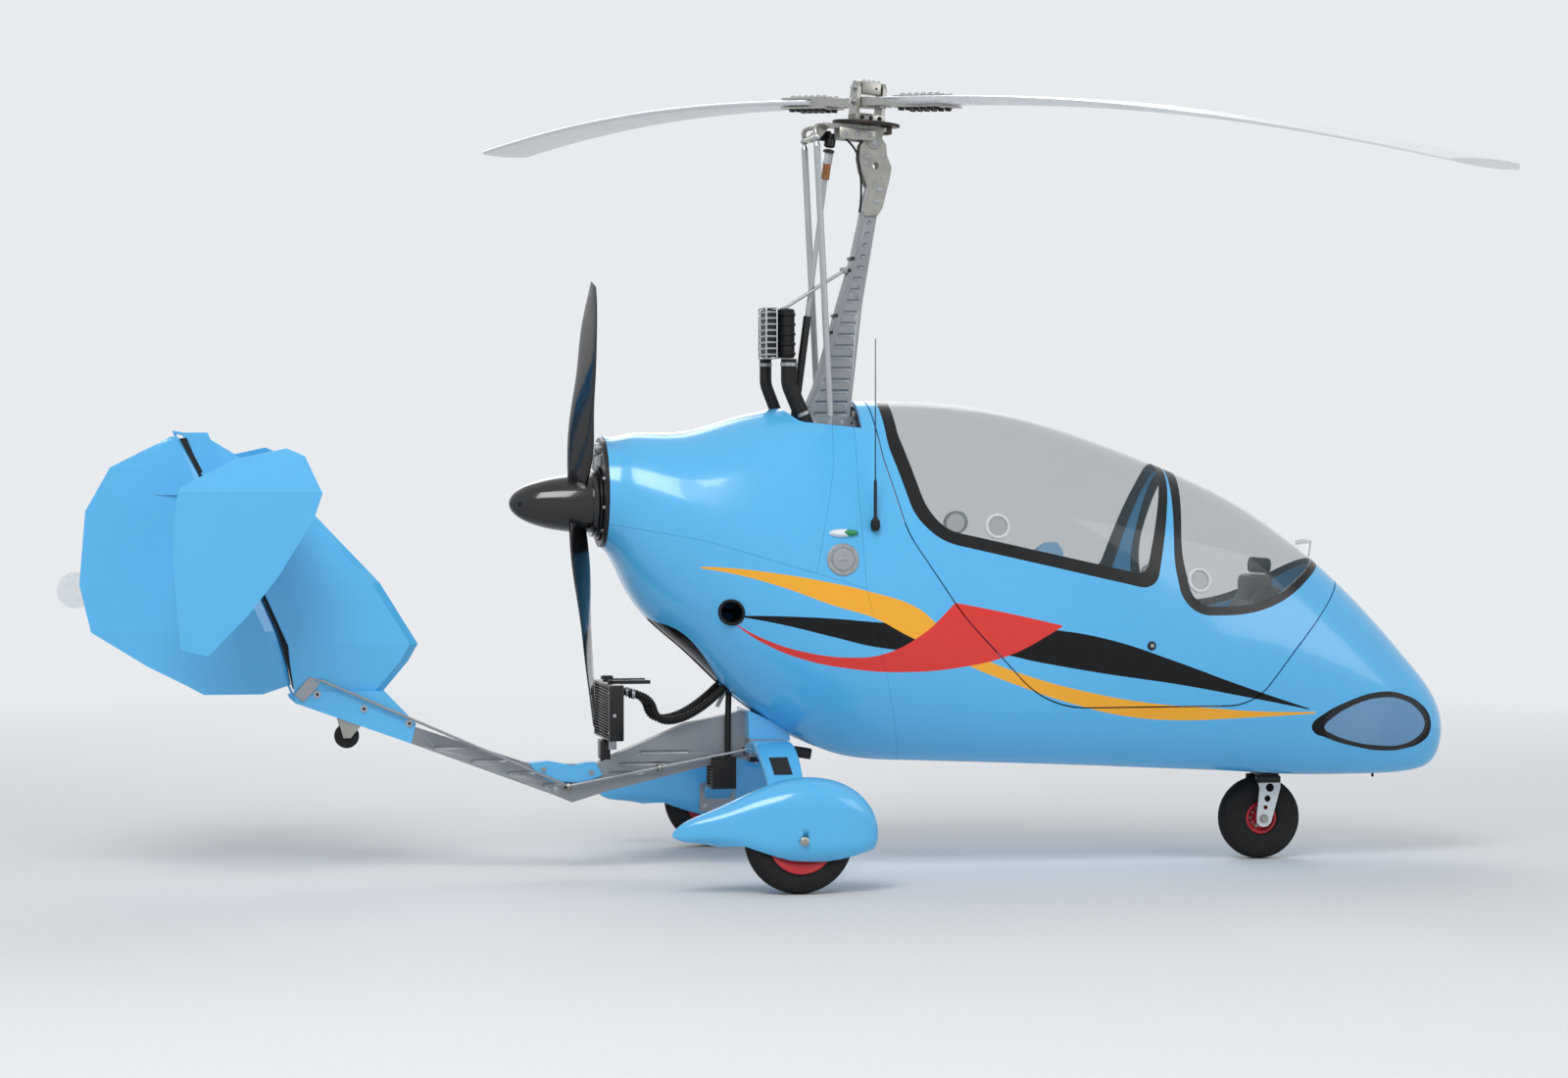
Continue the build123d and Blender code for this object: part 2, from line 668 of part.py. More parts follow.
with BuildPart() as shaft_sleeve:
    with BuildSketch(rod_plane(shaft_foot, shaft_top)):
        Circle(sleeve_radius)
    extrude(amount=sleeve_length)
    add(side_polygon([(72, 1500), (72, 1530), (200, 1530), (200, 1500)], sleeve_radius))
    add(mast_clear, mode=Mode.SUBTRACT)
    with BuildSketch(rod_plane(shaft_foot, shaft_top)):
        Circle(shaft_radius + 2 * bore_gap)
    extrude(amount=sleeve_length, mode=Mode.SUBTRACT)
shaft_sleeve.part.label = "shaft_sleeve"
export_step(shaft_sleeve.part, "parts/shaft_sleeve.step")

# Charge air cooler behind the mast with its two ducts
stay_start = (40, 1978)
stay_end = (300, 2147)
behind_mast_front = [(-100, 1700), (-100, 2300), (345, 2300), (120, 1700)]
with BuildPart() as air_cooler:
    with Locations((20, 0, 1900)):
        Box(110, 150, 180)
    for y in (-20, 20):
        with BuildSketch(rod_plane(stay_start, stay_end, y)):
            Circle(4)
        extrude(amount=reach(stay_start, stay_end))
    add(mast_clear, mode=Mode.SUBTRACT)
    add(side_polygon(behind_mast_front, 200), mode=Mode.INTERSECT)
air_cooler.part.label = "air_cooler"
export_step(air_cooler.part, "parts/air_cooler.step")

duct_table = [
    # y, radius, path as x, z
    (duct_right_y, duct_right_radius, [(52, 1809.7), (52, 1720), (118, 1566)]),
    (duct_left_y, duct_left_radius, [(-10, 1809.7), (-10, 1720), (35, 1605)]),
]
with BuildPart() as air_ducts:
    for y, radius, points in duct_table:
        with BuildLine():
            path = FilletPolyline(*[(x, y, z) for x, z in points], radius=100)
        with BuildSketch(Plane(path @ 0, z_dir=path % 0)):
            Circle(radius)
        sweep(path=path)
air_ducts.part.label = "air_ducts"
export_step(air_ducts.part, "parts/air_ducts.step")

# Propeller: three blades on one hub, and the spinner cap over the hub
prop_hub_radius = 62.0
prop_stations = [
    # radius, chord, thickness, pitch angle
    (50, 70, 40, 50),
    (130, 95, 32, 46),
    (250, 125, 26, 38),
    (500, 120, 16, 25),
    (propeller_radius - 110, 95, 10, 18),
    (propeller_radius, 45, 5, 16),
]


def propeller_blade(angle):
    """One blade pointing outward at angle from straight up, turning towards the left side."""
    out = Vector(0, sin(radians(angle)), cos(radians(angle)))
    with BuildPart() as single:
        for radius, chord, thick, pitch in prop_stations:
            place = Vector(propeller_x, 0, propeller_z) + out * radius
            with BuildSketch(Plane(place, x_dir=(-1, 0, 0), z_dir=out)):
                with Locations(Location((0, 0), pitch)):
                    Ellipse(thick / 2, chord / 2)
        loft()
    return single.part


with BuildPart() as propeller_blades:
    with Locations(Location((propeller_x, 0, propeller_z), (0, 90, 0))):
        Cylinder(prop_hub_radius, 80)
    for angle in (90, 210, 330):
        add(propeller_blade(angle))
    with Locations(Location((propeller_x + 20, 0, propeller_z), (0, 90, 0))):
        Cylinder(prop_shaft_radius + bore_gap, 62, mode=Mode.SUBTRACT)
propeller_blades.part.label = "propeller_blades"
export_step(propeller_blades.part, "parts/propeller_blades.step")

spinner_face = -634.0
spinner_step = -650.0
spinner_length = spinner_step - spinner_tip
rim_z = propeller_z + spinner_radius
waist_z = propeller_z + spinner_waist
with BuildPart() as spinner:
    with BuildSketch(side_plane(0)):
        with BuildLine():
            Polyline((spinner_tip, propeller_z), (spinner_face, propeller_z), (spinner_face, rim_z))
            Polyline((spinner_face, rim_z), (spinner_step, rim_z), (spinner_step, waist_z))
            EllipticalCenterArc((spinner_step, propeller_z), spinner_length, spinner_waist, 90, arc_size=90)
        make_face()
    revolve(axis=Axis((0, 0, propeller_z), (1, 0, 0)))
    add(propeller_blades.part, mode=Mode.SUBTRACT)
    with Locations(Location((-680, 0, propeller_z), (0, 90, 0))):
        Cylinder(prop_hub_radius, 120, mode=Mode.SUBTRACT)
spinner.part.label = "spinner"
export_step(spinner.part, "parts/spinner.step")

# Keel and undercarriage frame
keel_outline = keel_top + keel_bottom
keel_clear = side_polygon(keel_outline, keel_half + seat_gap)
with BuildPart() as keel:
    add(side_polygon(keel_outline, keel_half))
keel.part.label = "keel"
export_step(keel.part, "parts/keel.step")

frame_half = 112.0
frame_outline = [(-100, 386), (65, 386), (50, 462), (-95, 545)]
with BuildPart() as gear_frame:
    add(side_polygon(frame_outline, frame_half))
    add(keel_clear, mode=Mode.SUBTRACT)
gear_frame.part.label = "gear_frame"
export_step(gear_frame.part, "parts/gear_frame.step")

leg_root_y = frame_half + seat_gap
leg_stations = [
    # y, x, z, chord, thickness, droop angle
    (leg_root_y, -45, 436, 140, 34, 8),
    (450, -52, 400, 135, 30, 22),
    (640, -60, 280, 115, 26, 45),
    (742, -64, 192, 96, 24, 25),
]
spat_stations = [
    # station x, middle z, half height, half width
    (-493, 205, 6, 4),
    (-400, 222, 48, 38),
    (-250, 234, 100, 72),
    (-100, 240, 144, 93),
    (20, 240, 147, 96),
    (120, 228, 122, 82),
    (180, 212, 78, 55),
    (206, 198, 14, 10),
]


def spat_solid(y, inset):
    """Drop-shaped loft round the main wheel, drawn in by inset."""
    with BuildPart() as drop:
        for x, middle, high, wide in spat_stations:
            if inset and high < 2 * inset + 5:
                continue
            corner = 0.92 * (min(wide, high) - inset)
            with BuildSketch(Plane((x, y, middle), x_dir=(0, 1, 0), z_dir=(1, 0, 0))):
                RectangleRounded(2 * (wide - inset), 2 * (high - inset), corner)
        loft()
    return drop.part


def tyre_and_rim(x, y, radius, half, rim, bore, holes):
    """Tyre and pierced rim turned about a cross axle at x, with the tyre on the ground."""
    hub_axis = Axis((x, y, radius), (0, 1, 0))
    wheel_section = Plane((x, y, radius), x_dir=(0, 1, 0), z_dir=(1, 0, 0))
    seat = rim - 6
    lip = half * 0.72
    shoulder = half * 0.75
    shoulder_radius = radius - 14
    bulge_radius = (seat + radius) / 2
    with BuildPart() as tyre:
        with BuildSketch(wheel_section):
            with BuildLine():
                Line((-lip, seat), (lip, seat))
                ThreePointArc((lip, seat), (half, bulge_radius), (shoulder, shoulder_radius))
                ThreePointArc((shoulder, shoulder_radius), (0, radius), (-shoulder, shoulder_radius))
                ThreePointArc((-shoulder, shoulder_radius), (-half, bulge_radius), (-lip, seat))
            make_face()
        revolve(axis=hub_axis)
    boss = half * 0.55
    web = 6
    web_foot = 24
    web_top = rim - 24
    right_half = [(boss, bore), (boss, web_foot - 2), (web, web_foot), (web, web_top), (lip, rim - 16)]
    right_half += [(lip, seat - seat_gap)]
    left_half = [(-y, z) for y, z in reversed(right_half)]
    with BuildPart() as wheel:
        with BuildSketch(wheel_section):
            with BuildLine():
                Polyline(*right_half, *left_half, close=True)
            make_face()
        revolve(axis=hub_axis)
        with BuildSketch(Plane((x, y - 10, radius), x_dir=(1, 0, 0), z_dir=(0, 1, 0))):
            with PolarLocations((web_foot + web_top) / 2, holes):
                Circle((web_top - web_foot) / 3)
        extrude(amount=20, mode=Mode.SUBTRACT)
    return tyre.part, wheel.part


axle_end = main_track_half + 102
axle_start = 754.0
for name, side in (("left", 1), ("right", -1)):
    wheel_y = side * main_track_half
    with BuildPart() as leg:
        for y, x, z, chord, thick, angle in leg_stations:
            tilt = radians(angle)
            outward = (0, side * cos(tilt), -sin(tilt))
            with BuildSketch(Plane((x, side * y, z), x_dir=(1, 0, 0), z_dir=outward)):
                RectangleRounded(chord, thick, thick / 3)
        loft()
        with BuildSketch(Plane((0, side * leg_root_y, 0), x_dir=(1, 0, 0), z_dir=(0, side, 0))):
            Rectangle(2000, 2000)
        extrude(amount=1000, mode=Mode.INTERSECT)
        with Locations(across(main_axle_x, side * (axle_start - 2), main_tyre_radius)):
            Cylinder(30, 24)
        with Locations(across(main_axle_x, side * (axle_start + axle_end) / 2, main_tyre_radius)):
            Cylinder(axle_radius, axle_end - axle_start)
    leg.part.label = f"{name}_leg"
    export_step(leg.part, f"parts/{name}_leg.step")

    with BuildPart() as spat:
        add(spat_solid(wheel_y, 0))
        add(spat_solid(wheel_y, 5), mode=Mode.SUBTRACT)
        with Locations((main_axle_x, wheel_y, 55)):
            Box(2 * main_tyre_radius + 24, 2 * main_tyre_half + 20, 220, mode=Mode.SUBTRACT)
        with Locations((main_axle_x, side * 742, 190)):
            Box(116, 44, 92, mode=Mode.SUBTRACT)
        with Locations(across(main_axle_x, side * axle_end, main_tyre_radius)):
            Cylinder(axle_radius + seat_gap, 60, mode=Mode.SUBTRACT)
    spat.part.label = f"{name}_spat"
    export_step(spat.part, f"parts/{name}_spat.step")

main_wheel = (main_tyre_radius, main_tyre_half, main_rim_radius, axle_radius + bore_gap, main_rim_holes)
for name, side in (("left", 1), ("right", -1)):
    tyre, rim = tyre_and_rim(main_axle_x, side * main_track_half, *main_wheel)
    tyre.label = f"{name}_tyre"
    export_step(tyre, f"parts/{name}_tyre.step")
    rim.label = f"{name}_rim"
    export_step(rim, f"parts/{name}_rim.step")

# Nose wheel in its steered fork
nose_wheel = (nose_tyre_radius, nose_tyre_half, nose_rim_radius, nose_axle_radius + bore_gap, nose_rim_holes)
nose_tyre, nose_rim = tyre_and_rim(nose_axle_x, 0, *nose_wheel)
nose_tyre.label = "nose_tyre"
export_step(nose_tyre, "parts/nose_tyre.step")
nose_rim.label = "nose_rim"
export_step(nose_rim, "parts/nose_rim.step")

fork_outline = [(1795, 316), (1866, 316), (1840, 132), (1825, 122), (1795, 122), (1782, 134)]
with BuildPart() as nose_fork:
    add(side_polygon(fork_outline, fork_half + fork_plate))
    with Locations((nose_axle_x, 0, 200)):
        Box(400, 2 * fork_half, 212, mode=Mode.SUBTRACT)
    with Locations(across(nose_axle_x, 0, nose_tyre_radius)):
        Cylinder(nose_axle_radius, 2 * fork_half + 40)
    with Locations((steer_x, 0, 360)):
        Cylinder(stem_radius, 90)
nose_fork.part.label = "nose_fork"
export_step(nose_fork.part, "parts/nose_fork.step")

# Tail roller under the fin
roller_bore = roller_axle_radius + bore_gap
roller_edge = [(roller_half, roller_bore), (roller_half, roller_radius - 5), (8, roller_radius)]
with BuildPart() as tail_roller:
    with BuildSketch(Plane((roller_x, 0, roller_z), x_dir=(0, 1, 0), z_dir=(1, 0, 0))):
        with BuildLine():
            Polyline(*roller_edge, *[(-y, z) for y, z in reversed(roller_edge)], close=True)
        make_face()
    revolve(axis=Axis((roller_x, 0, roller_z), (0, 1, 0)))
tail_roller.part.label = "tail_roller"
export_step(tail_roller.part, "parts/tail_roller.step")

bracket_outline = [(-1545, 575), (-1448, 540), (-1495, 485), (-1520, 485)]
roller_space = [(-1600, 400), (-1600, 560), (-1400, 560), (-1400, 400)]
with BuildPart() as roller_bracket:
    add(side_polygon(bracket_outline, roller_half + 11))
    add(side_polygon(roller_space, roller_half + 5), mode=Mode.SUBTRACT)
    with Locations(across(roller_x, 0, roller_z)):
        Cylinder(roller_axle_radius, 2 * roller_half + 30)
    add(keel_clear, mode=Mode.SUBTRACT)
roller_bracket.part.label = "roller_bracket"
export_step(roller_bracket.part, "parts/roller_bracket.step")

# Fin: faceted, thickest along one crease, with a foot that clasps the keel
fin_stations = [
    # height z, leading x, trailing x, half thickness
    (648, -1379, -1690, 34),
    (751, -1292, -1706, 48),
    (811, -1258, -1712, 56),
    (1026, -1391, -1808, 46),
    (1259, -1613, -1930, 30),
    (1469, -1883, -2040, 16),
    (1549, -2013, -2075, 9),
]
fin_foot = [(-1379, 650), (-1268, 534), (-1284, 464), (-1689, 610), (-1690, 650)]
# Hinge line of the rudder, from its foot to its top
hinge_line = Vector(hinge_top[0] - hinge_foot[0], 0, hinge_top[1] - hinge_foot[1])
rudder_stations = [
    # height z, trailing x, nose radius
    (640, -2000, 5),
    (672, -2058, 10),
    (741, -2194, 30),
    (860, -2385, 50),
    (1026, -2424, 50),
    (1278, -2403, 31),
    (1429, -2318, 20),
    (1535, -2110, 10),
]


def hinge_x(z):
    """Position of the hinge line at height z."""
    return hinge_foot[0] + (z - hinge_foot[1]) * hinge_line.X / hinge_line.Z


def hinge_plane(z):
    """Plane square to the rudder's hinge line where the line is at height z."""
    return Plane((hinge_x(z), 0, z), x_dir=(0, 1, 0), z_dir=hinge_line)


with BuildPart() as fin:
    for z, lead, trail, half in fin_stations:
        with BuildSketch(Plane.XY.offset(z)):
            with BuildLine():
                front = [(lead, 0), (lead - 30, -half * 0.5), (trail + 90, -half), (trail, -half * 0.9)]
                Polyline(*front, *[(x, -y) for x, y in reversed(front[1:])], close=True)
            make_face()
    loft(ruled=True)
    add(side_polygon(fin_foot, 36))
    add(keel_clear, mode=Mode.SUBTRACT)
    add(side_polygon([(-1680, 604), (-1680, 640), (-1692, 646), (-1712, 640), (-1706, 626)], 12))
    with BuildSketch(hinge_plane(634)):
        Circle(rudder_pin_radius)
    extrude(amount=62)
    add(side_polygon([(-2060, 1540), (-2060, 1548), (-2104, 1556), (-2104, 1547), (-2078, 1540)], 8))
    with BuildSketch(hinge_plane(1551)):
        Circle(rudder_pin_radius)
    extrude(amount=-42)
fin.part.label = "fin"
export_step(fin.part, "parts/fin.step")

with BuildPart() as rudder:
    for z, trail, nose in rudder_stations:
        lead = hinge_x(z) if z > 650 else -1800
        with BuildSketch(Plane.XY.offset(z)):
            with BuildLine():
                front = [(lead + 0.95 * nose, 0), (lead + 0.7 * nose, -0.66 * nose)]
                front += [(lead, -nose), (trail, -2)]
                Polyline(*front, *[(x, -y) for x, y in reversed(front[1:])], close=True)
            make_face()
    loft(ruled=True)
    with BuildSketch(Plane.XY.offset(1334)):
        with BuildLine():
            Polyline((-2240, 0), (-2040, -46), (-2040, 46), close=True)
        make_face()
    extrude(amount=20)
    with BuildSketch(hinge_plane(620)):
        Circle(rudder_pin_radius + bore_gap)
    extrude(amount=85, mode=Mode.SUBTRACT)
    with BuildSketch(hinge_plane(1570)):
        Circle(rudder_pin_radius + bore_gap)
    extrude(amount=-70, mode=Mode.SUBTRACT)
rudder.part.label = "rudder"
export_step(rudder.part, "parts/rudder.step")

with BuildPart() as trim_tab:
    with BuildSketch(side_plane(0)):
        with Locations((-2438, 1006)):
            Circle(trim_tab_radius)
    extrude(amount=1.5, both=True)
    add(rudder.part, mode=Mode.SUBTRACT)
trim_tab.part.label = "trim_tab"
export_step(trim_tab.part, "parts/trim_tab.step")

# Tip plates, kinked along the line where the stabiliser meets them
plate_outline = [(-2109, 1362), (-2054, 1393), (-1916, 1460), (-1751, 1496), (-1690, 1470)]
plate_outline += [(-1633, 1345), (-1661, 1261), (-1776, 1071), (-1879, 937), (-2013, 800)]
plate_outline += [(-2103, 824), (-2129, 1100), (-2129, 1263)]
plate_kink_z = stabiliser_z + 3
plate_outer = [(tip_plate_y - 34, 1520), (tip_plate_y, plate_kink_z), (tip_plate_y - 56, 780)]
plate_inner = [(y - tip_plate_thickness, z) for y, z in reversed(plate_outer)]


def tip_plate(side):
    """Kinked plate on one side, cut to its outline in side view."""
    with BuildPart() as band:
        with BuildSketch(station_plane(-2200)):
            with BuildLine():
                Polyline(*[(side * y, z) for y, z in plate_outer + plate_inner], close=True)
            make_face()
        extrude(amount=700)
        add(side_polygon(plate_outline, 700), mode=Mode.INTERSECT)
    return band.part


with BuildPart() as tip_plates:
    add(tip_plate(1))
    add(tip_plate(-1))
tip_plates.part.label = "tip_plates"
export_step(tip_plates.part, "parts/tip_plates.step")

stabiliser_end = tip_plate_y - tip_plate_thickness - 2
stabiliser_stations = [
    # y, leading x, trailing x, thickness
    (-stabiliser_end, -1660, -2095, 20),
    (0, -1735, -1965, 30),
    (stabiliser_end, -1660, -2095, 20),
]
with BuildPart() as stabiliser:
    for y, lead, trail, thick in stabiliser_stations:
        upper = [(lead, stabiliser_z), (lead - 60, stabiliser_z + thick / 2), (trail, stabiliser_z + 2)]
        lower = [(trail, stabiliser_z - 2), (lead - 60, stabiliser_z - thick / 2)]
        with BuildSketch(side_plane(y)):
            with BuildLine():
                Polyline(*upper, *lower, close=True)
            make_face()
    loft(ruled=True)
    add(fin.part, mode=Mode.SUBTRACT)
stabiliser.part.label = "stabiliser"
export_step(stabiliser.part, "parts/stabiliser.step")

# Radiator behind the cabin with its two hoses
with BuildPart() as rear_radiator:
    with Locations((-582, 0, 565)):
        Box(116, 220, 216)
    with Locations((-600, 0, 428)):
        Box(40, 40, 60)
    add(keel_clear, mode=Mode.SUBTRACT)
rear_radiator.part.label = "rear_radiator"
export_step(rear_radiator.part, "parts/rear_radiator.step")

with BuildPart() as hoses:
    for y in (-hose_y, hose_y):
        with BuildLine():
            path = FilletPolyline(*[(x, y, z) for x, z in hose_points], radius=hose_bends)
        with BuildSketch(Plane(path @ 0, z_dir=path % 0)):
            Circle(hose_radius)
        sweep(path=path)
hoses.part.label = "hoses"
export_step(hoses.part, "parts/hoses.step")

with BuildPart() as oil_cooler:
    with Locations((-180, 0, 342)):
        Box(92, 130, 116)
    add(keel_clear, mode=Mode.SUBTRACT)
oil_cooler.part.label = "oil_cooler"
export_step(oil_cooler.part, "parts/oil_cooler.step")

# Fittings on the skin
with BuildPart() as antenna:
    with Locations((304, -345, 1226)):
        Sphere(16)
    with Locations((304, -345, 1300)):
        Cylinder(6, 140)
    with Locations((304, -345, 1620)):
        Cylinder(2.5, 520)
antenna.part.label = "antenna"
export_step(antenna.part, "parts/antenna.step")

with BuildPart() as exhaust_pipe:
    with BuildSketch(Plane((exhaust_place[0], -292, exhaust_place[1]), x_dir=(1, 0, 0), z_dir=(0, 1, 0))):
        Circle(exhaust_radius)
        Circle(exhaust_radius - 4, mode=Mode.SUBTRACT)
    extrude(amount=150)
exhaust_pipe.part.label = "exhaust_pipe"
export_step(exhaust_pipe.part, "parts/exhaust_pipe.step")

# Canopy hinges on the left side, each a centre knuckle between two outer ones
hinge_places = (1130, 1540)
hinge_pin_y = 372.0
hinge_pin_z = 580.0
hinge_pin_radius = 3.0
knuckle_radius = 8.0
knuckle_length = 24.0


def knuckle(x, length, low_z, high_z):
    """Knuckle about the hinge pin with a leaf reaching in to the skin."""
    with BuildPart() as leaf:
        with Locations(Location((x, hinge_pin_y, hinge_pin_z), (0, 90, 0))):
            Cylinder(knuckle_radius, length)
        with Locations((x, hinge_pin_y - 25, (low_z + high_z) / 2)):
            Box(length, 50, high_z - low_z)
        with Locations(Location((x, hinge_pin_y, hinge_pin_z), (0, 90, 0))):
            Cylinder(hinge_pin_radius + bore_gap, length + 4, mode=Mode.SUBTRACT)
        add(hull_outside, mode=Mode.SUBTRACT)
    return leaf.part


with BuildPart() as canopy_hinges:
    for x in hinge_places:
        add(knuckle(x, knuckle_length, hinge_pin_z + 3, hinge_pin_z + 14))
canopy_hinges.part.label = "canopy_hinges"
export_step(canopy_hinges.part, "parts/canopy_hinges.step")

with BuildPart() as body_hinges:
    for x in hinge_places:
        for side in (-1, 1):
            add(knuckle(x + side * (knuckle_length + 2), knuckle_length, hinge_pin_z - 14, hinge_pin_z - 3))
        with Locations(Location((x, hinge_pin_y, hinge_pin_z), (0, 90, 0))):
            Cylinder(hinge_pin_radius, 3 * knuckle_length + 8)
body_hinges.part.label = "body_hinges"
export_step(body_hinges.part, "parts/body_hinges.step")
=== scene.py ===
"""Dresses the enclosed gyrocopter: paint, glazing, seats, rotor head, engine fittings and wheels."""
from math import cos, hypot, pi, radians, sin

import bpy
from bpy.props import FloatProperty, FloatVectorProperty, IntProperty, PointerProperty
from mathutils import Matrix, Vector


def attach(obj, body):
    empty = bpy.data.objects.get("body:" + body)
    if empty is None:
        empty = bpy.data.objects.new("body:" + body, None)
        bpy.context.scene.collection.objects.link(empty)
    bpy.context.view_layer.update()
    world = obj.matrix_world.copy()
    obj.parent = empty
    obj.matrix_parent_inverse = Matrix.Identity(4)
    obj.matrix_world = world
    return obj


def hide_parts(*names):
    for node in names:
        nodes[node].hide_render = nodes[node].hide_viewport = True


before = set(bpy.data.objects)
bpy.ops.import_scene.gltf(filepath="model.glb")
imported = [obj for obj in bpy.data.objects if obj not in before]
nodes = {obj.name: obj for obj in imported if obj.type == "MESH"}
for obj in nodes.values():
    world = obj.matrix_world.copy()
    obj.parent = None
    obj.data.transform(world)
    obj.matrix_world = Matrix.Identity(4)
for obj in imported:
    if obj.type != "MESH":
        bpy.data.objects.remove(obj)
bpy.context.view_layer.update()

bl_info = {
    "name": "Enclosed gyrocopter",
    "version": (1, 0, 0),
    "blender": (4, 5, 0),
    "location": "View3D > Sidebar > Gyrocopter",
    "description": "Paint, glazing, seats and fittings for the enclosed gyrocopter",
    "category": "Object",
}

finishes = {}

X_AXIS = Vector((1, 0, 0))
Y_AXIS = Vector((0, 1, 0))
Z_AXIS = Vector((0, 0, 1))
ORIGIN = (0, 0, 0)
SIDES = (-1, 1)
NAMED_SIDES = (("left", 1), ("right", -1))

# Places repeated from the frame, in metres
HUB = Vector((0.350, 0, 2.722))
SPINDLE_TILT = radians(4.3)
BLADE_SWEEP = radians(11.0)
TEETER_REST = radians(3.0)
PIVOT = Vector((0.364, 0, 2.578))
MAST_HALF = 0.028
KEEL_HALF = 0.030
MAIN_AXLE = Vector((-0.064, 0.830, 0.185))
NOSE_AXLE = Vector((1.807, 0, 0.150))
STEER_X = 1.830


def tint(code):
    """Linear colour of a six-figure sRGB code."""
    parts = [int(code[i:i + 2], 16) / 255 for i in (0, 2, 4)]
    return tuple(p / 12.92 if p <= 0.04045 else ((p + 0.055) / 1.055) ** 2.4 for p in parts)


def colour_property(name, description, code):
    """Colour that a user may change."""
    return FloatVectorProperty(
        name=name, description=description, default=tint(code), subtype="COLOR", size=3, min=0, max=1)


def length_property(name, description, default, smallest):
    """Length in metres that a user may change."""
    return FloatProperty(name=name, description=description, default=default, min=smallest, unit="LENGTH")


class GyroColours(bpy.types.PropertyGroup):
    """Colours of the aircraft's finishes."""

    body: colour_property("Body", "Gloss paint of the body and tail", "55b3e8")
    yellow: colour_property("Yellow stripe", "Upper and lower yellow stripe", "f2a91c")
    red: colour_property("Red stripe", "Red stripe along the waist", "d8261c")
    black: colour_property("Black", "Black stripe and window borders", "0d0e11")
    cushion: colour_property("Cushions", "Padded upholstery of the seats", "86bbe0")


class GyroSizes(bpy.types.PropertyGroup):
    """Sizes of the repeated details."""

    mast_groove: length_property("Mast groove pitch", "Distance between the grooves pressed in the mast", 0.040, 0.02)
    rivet: length_property("Rivet radius", "Radius of the round rivet heads", 0.0035, 0.001)
    rivet_pitch: length_property("Rivet pitch", "Distance between rivets along a seam", 0.085, 0.02)
    fins: IntProperty(name="Cooler fins", description="Fins on the oil cooler", default=9, min=3, max=30)
    pad_voxel: length_property("Pad voxel", "Mesh size of the padded seats", 0.006, 0.004)
    pad_rise: length_property("Pad rise", "Furthest that stuffing pushes the cover out", 0.024, 0.005)


def colours():
    """Colour settings of this scene."""
    return bpy.context.scene.gyro_colours


def sizes():
    """Size settings of this scene."""
    return bpy.context.scene.gyro_sizes


# Values between which most of a noise texture lies
NOISE_LOW = 0.3
NOISE_HIGH = 0.7


class Finish:
    """A node material that reads object coordinates."""

    def __init__(self, name):
        self.material = bpy.data.materials.new(name)
        self.material.use_nodes = True
        self.tree = self.material.node_tree
        self.shader = self.tree.nodes["Principled BSDF"]
        self.place = self.add("ShaderNodeTexCoord").outputs["Object"]
        finishes[name] = self.material

    def add(self, kind, inputs=None, **settings):
        """New node with its settings made and its inputs linked or set."""
        made = self.tree.nodes.new(kind)
        for key, value in settings.items():
            setattr(made, key, value)
        for key, value in (inputs or {}).items():
            self.put(made.inputs[key], value)
        return made

    def put(self, socket, value):
        """Links or sets one input."""
        if isinstance(value, bpy.types.NodeSocket):
            self.tree.links.new(value, socket)
        else:
            socket.default_value = value

    def set(self, **inputs):
        """Sets inputs of the shader, whose names are written with underscores."""
        for key, value in inputs.items():
            self.put(self.shader.inputs[key.replace("_", " ")], value)

    def math(self, operation, *values, clamp=False):
        """Result of one arithmetic step."""
        return self.add("ShaderNodeMath", dict(enumerate(values)), operation=operation, use_clamp=clamp).outputs[0]

    def noise(self, scale, detail=4.0, stretch=None):
        """Fine noise, stretched along the axes where stretch is given."""
        vector = self.place
        if stretch:
            vector = self.add("ShaderNodeMapping", {"Vector": vector, "Scale": stretch}).outputs[0]
        return self.add("ShaderNodeTexNoise", {"Vector": vector, "Scale": scale, "Detail": detail}).outputs["Fac"]

    def spread(self, value, low, high):
        """Noise value spread between low and high."""
        inputs = {"Value": value, "From Min": NOISE_LOW, "From Max": NOISE_HIGH, "To Min": low, "To Max": high}
        return self.add("ShaderNodeMapRange", inputs).outputs[0]

    def split(self):
        """The x, y and z of the place."""
        return self.add("ShaderNodeSeparateXYZ", {"Vector": self.place}).outputs

    def blend(self, factor, first, second):
        """Mix of two colours."""
        mixed = self.add("ShaderNodeMix", {"Factor": factor}, data_type="RGBA")
        for key, colour in (("A", first), ("B", second)):
            self.put(mixed.inputs[key], colour if isinstance(colour, bpy.types.NodeSocket) else (*colour, 1))
        return mixed.outputs["Result"]

    def bump(self, height, strength, distance):
        """Relief from a height value."""
        relief = self.add("ShaderNodeBump", {"Height": height, "Strength": strength, "Distance": distance})
        self.set(Normal=relief.outputs[0])

    def profile(self, along, points, low, span):
        """Smooth curve through x, z points, read at along, as a height in metres."""
        first, last = points[0][0], points[-1][0]
        part = self.add("ShaderNodeMapRange", {"Value": along, "From Min": first, "From Max": last}).outputs[0]
        curve = self.add("ShaderNodeFloatCurve", {"Value": part})
        handles = curve.mapping.curves[0].points
        places = [((x - first) / (last - first), (z - low) / span) for x, z in points]
        handles[0].location = places[0]
        handles[1].location = places[-1]
        for place in places[1:-1]:
            handles.new(*place)
        for handle, (x, z) in zip(handles, points):
            if x in SHARP_CORNERS:
                handle.handle_type = "VECTOR"
        curve.mapping.update()
        return self.math("MULTIPLY_ADD", curve.outputs[0], span, low)


def shade_variants(colour, amount):
    """A colour a little darker and a little lighter."""
    return [c * (1 - amount) for c in colour], [min(1.0, c * (1 + amount)) for c in colour]


# Metallic value below which a finish mirrors less, and how much finer the relief is than the mottling
BARE_METAL = 0.2
RELIEF_FINENESS = 8

